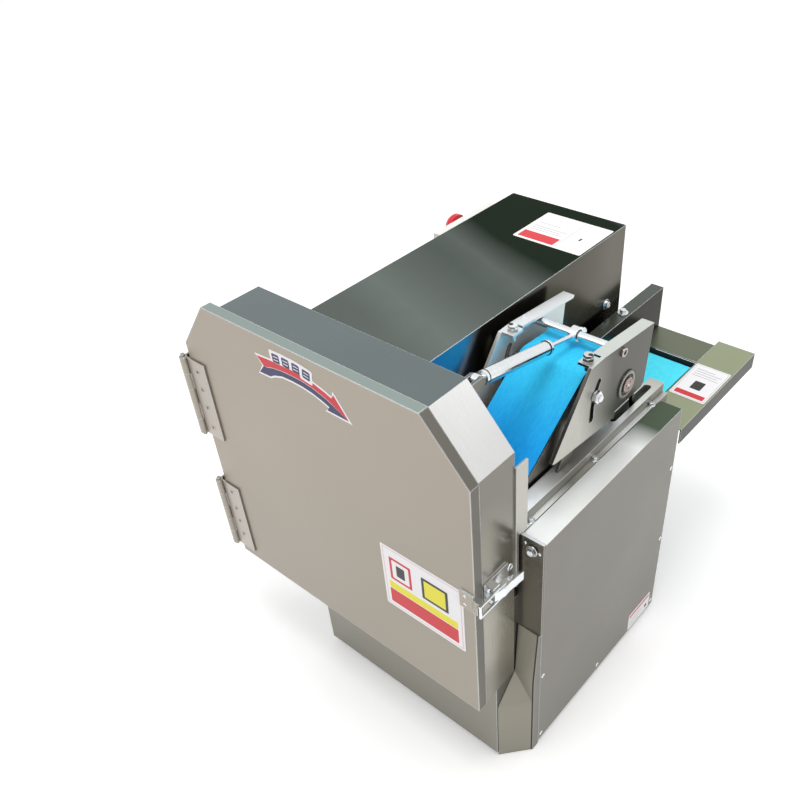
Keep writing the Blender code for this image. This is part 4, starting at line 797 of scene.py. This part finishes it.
class CUTTER_OT_corner_sheet(bpy.types.Operator):
    """The sheet that runs slantwise from the base's right corner to the side cover"""

    bl_idname = "cutter.corner_sheet"
    bl_label = "Corner sheet"

    def execute(self, context):
        c = colours()
        # Painted light: the faces that look to the front are lighter than the rest, and the right
        # face takes the side cover's tone
        sheet = sheet_metal(
            "corner", c.skirt, [(FRONT, c.skirt_front), (RIGHT, c.cover_side)], rough=0.42,
            grain=(20, 20, 900), cloud=0.10, fold=0.0008, wear_and_sheen=0.2, metallic=0.6)
        seam = moulded("seam shadow", c.black, 0.6)
        # The height, left edge, front at the left edge and front at the right edge of each level
        levels = ((0.8, -2.6, 42.0, 77.8), (120, -2.6, 42.0, 77.8), (162.5, -2.6, 80.2, 77.8),
                  (164, -2.0, 80.2, 77.8), (256.5, -2.0, 87.4, 86.0))
        inner, outer, rear = 28.9, 30.9, 92.6
        form = Form("corner_sheet", "frame")
        form.loft([[at(left, front, z), at(inner, side, z), at(outer, side + 2.0, z),
                    at(outer, rear, z), at(left, rear, z)] for z, left, front, side in levels],
                  sheet)
        form.loft([[at(28.7, side - 0.3, z), at(30.2, side + 1.1, z), at(30.2, side + 2.2, z),
                    at(28.7, side + 0.9, z)] for z, _, _, side in levels], seam)
        bmesh.ops.triangulate(form.mesh, faces=form.mesh.faces[:])
        form.done()
        return {"FINISHED"}


class CUTTER_OT_rail(bpy.types.Operator):
    """The right rail's finish and its raised top, open over the chain"""

    bl_idname = "cutter.rail"
    bl_label = "Right rail"

    def execute(self, context):
        c = colours()
        # Painted reflections along the rail's top: white at the front, then grey and pale bands
        # towards the rear
        along = [(0.09, c.cover_top), (0.15, c.cover_mid), (0.20, c.plate), (0.27, c.wing),
                 (0.33, c.cover_mid), (0.44, c.wing)]
        sheet = sheet_metal("rail", c.plate, [(UP, REAR, along, 0.02)], rough=0.36,
                            grain=(400, 10, 400), cloud=0.08, fold=0.0010, metallic=0.5)
        dress("right_rail", sheet)
        left, right, front, rear = -33.6, -11.5, 93, 444
        slot_front, slot_rear, slot_middle, slot_radius = 330.5, 421.5, -25.5, 5.5
        base, thick = 417.05, 0.013
        inner, outer = [], []
        for start, a, b, side, end in ((0, right, left, slot_rear, rear),
                                       (180, left, right, slot_front, front)):
            edge = [(a, side), (a, (side + end) / 2), (a, end), (a * 0.67 + b * 0.33, end),
                    ((a + b) / 2, end), (a * 0.33 + b * 0.67, end), (b, end),
                    (b, (side + end) / 2), (b, side)]
            for step, corner in enumerate(edge):
                t = math.radians(start + 180 * step / (len(edge) - 1))
                inner.append(at(slot_middle + slot_radius * math.cos(t),
                                side + slot_radius * math.sin(t), base))
                outer.append(at(*corner, base))
        form = Form("rail_cap", "frame")
        form.ring_slab(outer, inner, UP * thick, sheet)
        form.done()
        return {"FINISHED"}


class CUTTER_OT_machine(bpy.types.Operator):
    """Finishes of shafts, rollers, belts, chains, castings and buttons"""

    bl_idname = "cutter.machine"
    bl_label = "Drive and conveyor"

    def execute(self, context):
        c = colours()
        polished = bright_metal("polished rod", c.rod, 0.18)
        turned = bright_metal("turned steel", c.steel, 0.30)
        ground = bright_metal("ground knife steel", c.plate, 0.18)
        dark = bright_metal("oiled chain steel", c.shade, 0.34)
        paint_coat = moulded("casting paint", c.casting, 0.44, 420, 0.00012, 0.12)
        rubber = moulded("rubber", c.rubber, 0.74, 900, 0.00008, 0.12)
        groups = [
            (polished, ("cross_rod", "strut_cylinder", "strut_rod", "latch_base", "latch_lever",
                        "latch_bail", "shaft_boss")),
            (turned, ("drive_roller", "tail_roller", "roller_sprocket", "output_shaft",
                      "reversing_shaft", "press_drum", "top_roller", "nose_roller",
                      "knife_shaft", "knife_pulley", "motor_pulley", "knife_holder", "belt_bed",
                      "guide_arm", "press_frame", "press_bearing")),
            (ground, ("knife_1", "knife_2", "knife_nut")),
            (dark, ("press_chain", "feed_chain")),
            (paint_coat, ("feed_gearmotor", "main_motor", "knife_bearing")),
            (rubber, ("v_belt", "foot_front_left", "foot_rear_left", "foot_front_right",
                      "foot_rear_right")),
            (moulded("stop button", c.red, 0.30), ("emergency_stop",)),
            (moulded("start button", c.green, 0.34), ("start_button",)),
            (moulded("black plastic", c.black, 0.38), ("stop_button", "speed_knob")),
        ]
        for material, nodes in groups:
            for node in nodes:
                dress(node, material)
        run = Vector((0, 0.826, 0.564))
        pitch = sizes().weave
        # The press belt's paler crest is a painted highlight
        dress("press_belt", belting("press belt fabric", c.belt, c.belt_deep, run, pitch,
                                    (c.belt_crest, 0.38, 0.53)))
        dress("conveyor_belt", belting("feed belt fabric", c.belt_pale, c.belt_shade, REAR, pitch))
        return {"FINISHED"}


class CUTTER_OT_labels(bpy.types.Operator):
    """Plain printed labels in the sticker places"""

    bl_idname = "cutter.labels"
    bl_label = "Labels"

    def execute(self, context):
        c = colours()
        self.inks = {name: moulded("print " + name, getattr(c, name), 0.38, 500, 0.00002, 0.06)
                     for name in ("white", "red", "navy", "yellow", "black", "pink", "grey")}
        self.thick = sizes().label
        self.arrow()
        self.label("door_label", "door", at(-149.5, 0, 277), RIGHT, UP, (132, 112), [
            ("pink", 3.0, 3.0, 126, 106), ("white", 4.4, 4.4, 123.2, 103.2),
            ("red", 9, 9, 113, 26), ("yellow", 9, 36, 113, 13), ("red", 13, 55, 36, 40),
            ("white", 17, 59, 28, 32), ("black", 24, 65, 14, 20), ("black", 66, 55, 42, 38),
            ("yellow", 70, 59, 34, 30)])
        self.label("box_label", "frame", at(-288, 458, 573.6), RIGHT, REAR, (117, 93), [
            ("red", 5, 5, 62, 21), ("grey", 71, 3, 0.8, 87), ("grey", 8, 34, 54, 1.2),
            ("grey", 8, 40, 48, 1.2), ("grey", 8, 46, 56, 1.2), ("grey", 8, 58, 40, 1.0),
            ("black", 90, 38, 3, 8)])
        self.label("table_label", "frame", at(-31.5, 508, 369), RIGHT, REAR, (57, 92), [
            ("grey", 2, 2, 53, 88), ("white", 2.7, 2.7, 51.6, 86.6), ("red", 5, 5, 47, 11),
            ("black", 20, 26, 17, 22), ("grey", 7, 60, 43, 1.2), ("grey", 7, 66, 38, 1.2),
            ("grey", 7, 72, 43, 1.2), ("grey", 7, 78, 30, 1.2)])
        self.label("cover_label", "frame", at(COVER_FACE, 342, 11), REAR, UP, (66, 36), [
            ("red", 2.5, 27, 61, 5), ("grey", 5, 20, 34, 1.2), ("grey", 5, 14, 38, 1.2),
            ("grey", 5, 8, 30, 1.2), ("black", 52, 8, 6, 8)])
        return {"FINISHED"}

    def label(self, name, body, corner, across, along, extent, prints):
        """A rounded panel with plain printed blocks, given as (colour, x, y, width, height)."""
        form = Form(name, body)
        out = across.cross(along).normalized()

        def placed(outline, lift):
            return [corner + (across * x + along * y) / 1000 + out * lift for x, y in outline]

        panel = placed(round_outline(*extent, 2.5), LABEL_GAP)
        form.slab(panel, out * self.thick, self.inks["white"])
        for layer, (ink, x, y, width, height) in enumerate(prints):
            block = round_outline(width, height, min(width, height, 5.0) * 0.3, 3)
            lift = self.thick + LAYER * (layer + 2) - PRINT
            block = placed([(x + a, y + b) for a, b in block], lift)
            form.slab(block, out * PRINT, self.inks[ink])
        form.done()

    def arrow(self):
        """A curved two-tone arrow that shows which way the knives turn, with four tiles above."""
        form = Form("door_arrow", "door")
        middle = [Vector(p) for p in ((-306, 585), (-296, 588), (-280, 590.5), (-262, 591.5),
                                      (-244, 591), (-226, 588.5), (-208, 583.5), (-199, 580))]
        tail, neck, tip = middle[0], middle[-1], Vector((-172, 566))
        run = (tip - neck).normalized()
        across = Vector((-run.y, run.x))
        back = tail + Vector((-16, -1))
        notch = tail + Vector((-16, -1)) * 0.35
        fork, head, border = 12, 15.5, 2.6

        def line(side, share, grow):
            """Points beside the middle line, a share of the arrow's half width away plus grow."""
            points = []
            for i, place in enumerate(middle):
                ahead = middle[min(i + 1, len(middle) - 1)] - middle[max(i - 1, 0)]
                ahead.normalize()
                half = (8.0 + 4.5 * max(0.0, 1 - i / 2.0)) * share + grow
                points.append(place + Vector((-ahead.y, ahead.x)) * side * half)
            return points

        def lay(points, lift, thick, ink):
            placed = [at(p[0], 0, p[1]) + FRONT * lift for p in points]
            form.slab(placed, FRONT * thick, self.inks[ink])

        def tile(place, turn, width, height, radius, steps, drop):
            turned = Matrix.Rotation(math.radians(turn), 2)
            return [place + turned @ Vector((a - width / 2, b - height / 2 + drop))
                    for a, b in round_outline(width, height, radius, steps)]

        barb = across * (head + border * 1.6)
        rim = [notch - Vector((border, 0)), back + Vector((-border, fork + border))]
        rim += line(1, 1, border) + [neck + barb - run * border, tip + run * border * 2.2]
        rim += [neck - barb - run * border] + line(-1, 1, border)[::-1]
        lay(rim + [back + Vector((-border, -fork - border))], LABEL_GAP, self.thick, "white")
        lift = self.thick - 2 * LAYER
        upper = [notch, back + Vector((0, fork))] + line(1, 1, 0) + [neck + across * head, tip]
        lay(upper + line(-1, 0, 0)[::-1], lift, PRINT, "red")
        lower = [notch] + line(1, 0, -0.6) + [tip, neck - across * head] + line(-1, 1, 0)[::-1]
        lay(lower + [back + Vector((0, -fork))], lift, PRINT, "navy")
        # Each print lies a hair above the one under it
        tiles = ((-285, 605, 2), (-268, 605.5, -1), (-251, 605, -4), (-234, 603, -8))
        for step, (x, z, turn) in enumerate(tiles):
            spot = Vector((x, z))
            lay(tile(spot, turn, 20, 20, 2.0, 3, 0), LAYER + step * 0.000004, self.thick, "white")
            lay(tile(spot, turn, 12.5, 12.5, 2.0, 3, 0), lift + 0.00004, PRINT, "navy")
            for drop in (-2.2, 2.2):
                lay(tile(spot, turn, 8.4, 1.2, 0.3, 2, drop), lift + 0.00008, PRINT, "white")
        form.done()


class CUTTER_OT_fastenings(bpy.types.Operator):
    """Screws, bolts and nuts, and the bumper under the infeed table"""

    bl_idname = "cutter.fastenings"
    bl_label = "Fastenings"

    def execute(self, context):
        c, s = colours(), sizes()
        steel = bright_metal("screw steel", c.bright, 0.22)
        dark = moulded("recess shadow", c.black, 0.6)
        wear_and_sheen = bright_metal("worn screw steel", c.leaf, 0.30)

        hinge = Form("hinge_screws", "door")
        for z in (515, 486, 456, 421, 299, 266, 240, 211):
            domed_screw(hinge, at(-462, -2.8, z), FRONT, s.screw, wear_and_sheen, dark, 0.0009, 0.62)
        hinge.done()

        bracket = Form("hinge_bracket_screws", "frame")
        for z in (510, 468, 425, 292, 247, 202):
            hex_bolt(bracket, at(-466.8, 38, z), LEFT, 0.0085, 0.0030, steel)
        bracket.done(bevel=0.0002)

        cover = Form("cover_screws", "frame")
        for y, z in ((414, 313), (414, 167), (414, 20), (250, 20), (99, 160), (99, 20)):
            domed_screw(cover, at(COVER_FACE, y, z), RIGHT, 0.0070, steel, dark, 0.0016)
        cover.done()

        rail = Form("rail_bolts", "frame")
        hex_bolt(rail, at(-24, 118, 430), UP, s.bolt, 0.0046, steel, 0.3)
        for y in (119, 260, 405):
            hex_bolt(rail, at(-8.25, y, 415.5), UP, 0.0076, 0.0040, steel, 0.2)
        rail.done(bevel=0.0003)

        plate = Form("front_plate_screws", "frame")
        for x, z in ((6.5, 413), (27.0, 406)):
            domed_screw(plate, at(x, 88.2, z), FRONT, 0.0050, steel, dark)
        hex_bolt(plate, at(17.5, 86.6, 407), FRONT, 0.0098, 0.0046, steel, 0.3)
        plate.done()

        sides = Form("box_bolts", "frame")
        hex_bolt(sides, at(-168.4, 539, 458), RIGHT, s.bolt, 0.0045, steel, 0.4)
        hex_bolt(sides, at(-147, 556, 442), UP, s.bolt, 0.0050, steel, 0.2)
        hex_bolt(sides, at(-147, 210, 442), UP, s.bolt, 0.0050, steel, 0.5)
        for y in (120, 330, 540):
            for z in (185, 552):
                domed_screw(sides, at(-377, y, z), LEFT, 0.0078, steel, dark)
        for x in (-350, -195):
            for z in (190, 545):
                domed_screw(sides, at(x, 580, z), REAR, 0.0078, steel, dark)
        sides.done(bevel=0.0003)

        press = Form("press_screws", "presser")
        socket_screw(press, at(-14, *ROD_AXIS), RIGHT, 0.0130, 0.0032, wear_and_sheen, dark)
        hex_bolt(press, at(-149.4, 300, 556), RIGHT, 0.0105, 0.0036, steel, 0.3)
        # Painted shade: two dark hexagons that stand for screw sockets
        socket = millimetres([(0, -0.3), (3.4, -0.3), (3.4, 0.1), (0, 0.1)])
        for x in (-25.0, -143.4):
            press.lathe(at(x, 261, 571.0), UP, socket, dark, 6)
        press.done(bevel=0.0002)

        bolt = round_press(-13.4, 82, 160.8)
        guide = Form("guide_nut", "frame")
        nut = [(0, 0), (8.8, 0), (8.8, 5.2), (8.0, 6.2), (0, 6.2)]
        guide.lathe(bolt, RIGHT, millimetres(nut), steel, 6, 0.3)
        stud = [(0, 5.5), (5.0, 5.5), (5.0, 8.5), (3.6, 10.0), (0, 10.6)]
        guide.lathe(bolt, RIGHT, millimetres(stud), steel, 20)
        guide.done()

        table = Form("table_bumper", "frame")
        bumper = [(0, 0), (6.0, 0), (6.0, 3.0), (5.0, 4.2), (3.6, 4.6), (3.6, 6.4), (0, 6.4)]
        table.lathe(at(22, 561, 345), DOWN, millimetres(bumper),
                    moulded("bumper rubber", c.rubber, 0.7), 20)
        table.done()
        return {"FINISHED"}


class CUTTER_OT_details(bpy.types.Operator):
    """Small trim of the press conveyor, strut, latch, keeper, tail plate and control panel, with
    painted shade for the tail plate's lip
    """

    bl_idname = "cutter.details"
    bl_label = "Details"

    def execute(self, context):
        c = colours()
        steel = bright_metal("ring steel", c.bright, 0.20)
        # Black for the dark rings on the bearing and strut, the dots on the shaft end and the
        # dial's marks, and painted shade for the tail plate's lip and the keeper rivets' recesses
        dark = moulded("seal rubber", c.black, 0.5)
        self.conveyor(c, steel, dark)
        self.latch(c, steel, dark)
        # The tail plate's bent-down lip, which sits in shadow, drawn as a dark strip of painted
        # shade
        lip_shade = Form("tail_guard", "frame")
        front, rear, low, high = 599.8, 600.9, 336, 366.5
        outline = [at(-133, y, z)
                   for y, z in ((front, low), (rear, low), (rear, high), (front, high))]
        lip_shade.slab(outline, Vector((0.0975, 0, 0)), dark)
        lip_shade.done()
        self.panel(c, steel, dark)
        return {"FINISHED"}

    def conveyor(self, c, steel, dark):
        """The press bearing's rings, the end of its shaft, tinted by wear, with a painted highlight
        at its middle, and the strut's rings.
        """
        race = bright_metal("worn bearing race", c.plate, 0.26)
        bearing = Form("bearing_rings", "presser")
        face = at(-12.5, *PRESS_AXIS)
        ring(bearing, face, RIGHT, 20.0, 20.9, -0.3, 0.15, dark)
        ring(bearing, face, RIGHT, 15.4, 18.6, -0.3, 0.9, race)
        ring(bearing, face, RIGHT, 11.5, 15.4, -0.3, 0.2, dark)
        bearing.done()
        shaft = Form("press_shaft_end", "press_drum")
        profile = [(0, -0.2), (11.0, -0.2), (11.0, 0.4), (10.2, 1.0), (8.0, 1.0), (7.6, 0.7),
                   (0, 0.7)]
        end = at(-11, *PRESS_AXIS)
        shaft.lathe(end, RIGHT, millimetres(profile),
                    bright_metal("worn shaft end", c.shaft, 0.26), 32)
        # Painted highlight: a small ring of bright steel at the middle of the shaft end
        ring(shaft, end, RIGHT, 0.4, 1.8, 0.5, 1.3, steel, 16)
        for turn in (40, 160, 280):
            dot = round_press(-10.3, 5.2, turn)
            ring(shaft, dot, RIGHT, 0.5, 1.3, -0.3, 0.3, dark, 12)
        shaft.done()
        foot = at(*STRUT_FOOT)
        along = (at(STRUT_FOOT[0], *ROD_AXIS) - foot).normalized()
        tube = Form("strut_rings", "strut_cylinder")
        ring(tube, foot, along, 8.6, 9.25, 15.0, 16.4, dark)
        ring(tube, foot, along, 8.6, 9.8, 138.2, 139.4, dark)
        ring(tube, foot, along, 4.0, 7.6, 142.8, 144.4, steel)
        tube.done()

    def latch(self, c, steel, dark):
        """The latch's eye, and the face and rivets of the door's keeper."""
        eye = Form("latch_eye", "frame")
        thick, around, points = 1.15, 4.2, 10
        wire = [(around + thick * math.cos(t), thick * math.sin(t))
                for t in (2 * math.pi * i / points for i in range(points))]
        eye.lathe(at(5.5, 60, 395), RIGHT, millimetres(wire), steel, 24)
        eye.done(60)
        face = Form("keeper_face", "door")
        keeper = sheet_metal("keeper", c.door, rough=0.36, cloud=0.04, fold=FINE_FOLD)
        for left, right, low, high in ((-20.9, -0.6, 367.1, 392.9), (-1.2, 9.9, 374.1, 385.9)):
            outline = [at(x, -2.1, z)
                       for x, z in ((left, low), (right, low), (right, high), (left, high))]
            face.slab(outline, FRONT * 0.0004, keeper)
        face.done()
        rivets = Form("keeper_rivets", "door")
        for z in (373, 387):
            domed_screw(rivets, at(-13, -2.2, z), FRONT, 0.0046, steel, dark)
        rivets.done()

    def panel(self, c, steel, dark):
        """The emergency stop's collar, the buttons' bezels and the speed knob's dial."""
        stop = Form("emergency_stop_collar", "frame")
        ring(stop, at(PANEL_FACE, 486, 541), LEFT, 11.0, 19.0, -0.3, 1.8,
             moulded("collar", c.yellow, 0.4))
        stop.done()
        bezels = Form("panel_bezels", "frame")
        for z in (546, 512):
            ring(bezels, at(PANEL_FACE, 435, z), LEFT, 8.6, 11.0, -0.3, 1.6, steel)
        knob = at(PANEL_FACE, 500, 492)
        ring(bezels, knob, LEFT, 13.6, 14.6, -0.3, 0.5, dark)
        for turn in range(-60, 241, 30):
            t = math.radians(turn)
            out = Vector((0, math.cos(t), math.sin(t)))
            across = Vector((0, -out.z, out.y)) * 0.0004
            root = knob + out * 0.0155 + LEFT * -0.0001
            tip = root + out * 0.0022
            bezels.slab([root - across, tip - across, tip + across, root + across],
                        LEFT * 0.0004, dark)
        bezels.done()


class CUTTER_PT_panel(bpy.types.Panel):
    """The steps that dress the cutter, and what a user may change first"""

    bl_idname = "CUTTER_PT_panel"
    bl_label = "Vegetable cutter"
    bl_space_type = "VIEW_3D"
    bl_region_type = "UI"
    bl_category = "Cutter"

    def draw(self, context):
        layout = self.layout
        for step in STEPS:
            layout.operator(step.bl_idname)
        for holder, heading, _ in GROUPS:
            box = layout.box()
            box.label(text=heading)
            held = getattr(context.scene, holder)
            for prop in held.bl_rna.properties:
                if prop.identifier not in ("rna_type", "name"):
                    box.prop(held, prop.identifier)


# The property groups: their names on the scene, their headings and their classes
GROUPS = [("cutter_colours", "Colours", CutterColours), ("cutter_sizes", "Sizes", CutterSizes),
          ("cutter_stage", "Stage", CutterStage)]
# The steps in the order in which main runs them
STEPS = [CUTTER_OT_stage, CUTTER_OT_sheets, CUTTER_OT_corner_sheet, CUTTER_OT_rail,
         CUTTER_OT_machine, CUTTER_OT_labels, CUTTER_OT_fastenings, CUTTER_OT_details]
CLASSES = [group for _, _, group in GROUPS] + STEPS + [CUTTER_PT_panel]


def register():
    for kind in CLASSES:
        bpy.utils.register_class(kind)
    for holder, _, group in GROUPS:
        setattr(bpy.types.Scene, holder, bpy.props.PointerProperty(type=group))


def unregister():
    for holder, _, _ in GROUPS:
        delattr(bpy.types.Scene, holder)
    for kind in reversed(CLASSES):
        bpy.utils.unregister_class(kind)


def main():
    register()
    for step in STEPS:
        group, name = step.bl_idname.split(".")
        getattr(getattr(bpy.ops, group), name)()


if __name__ == "__main__":
    main()
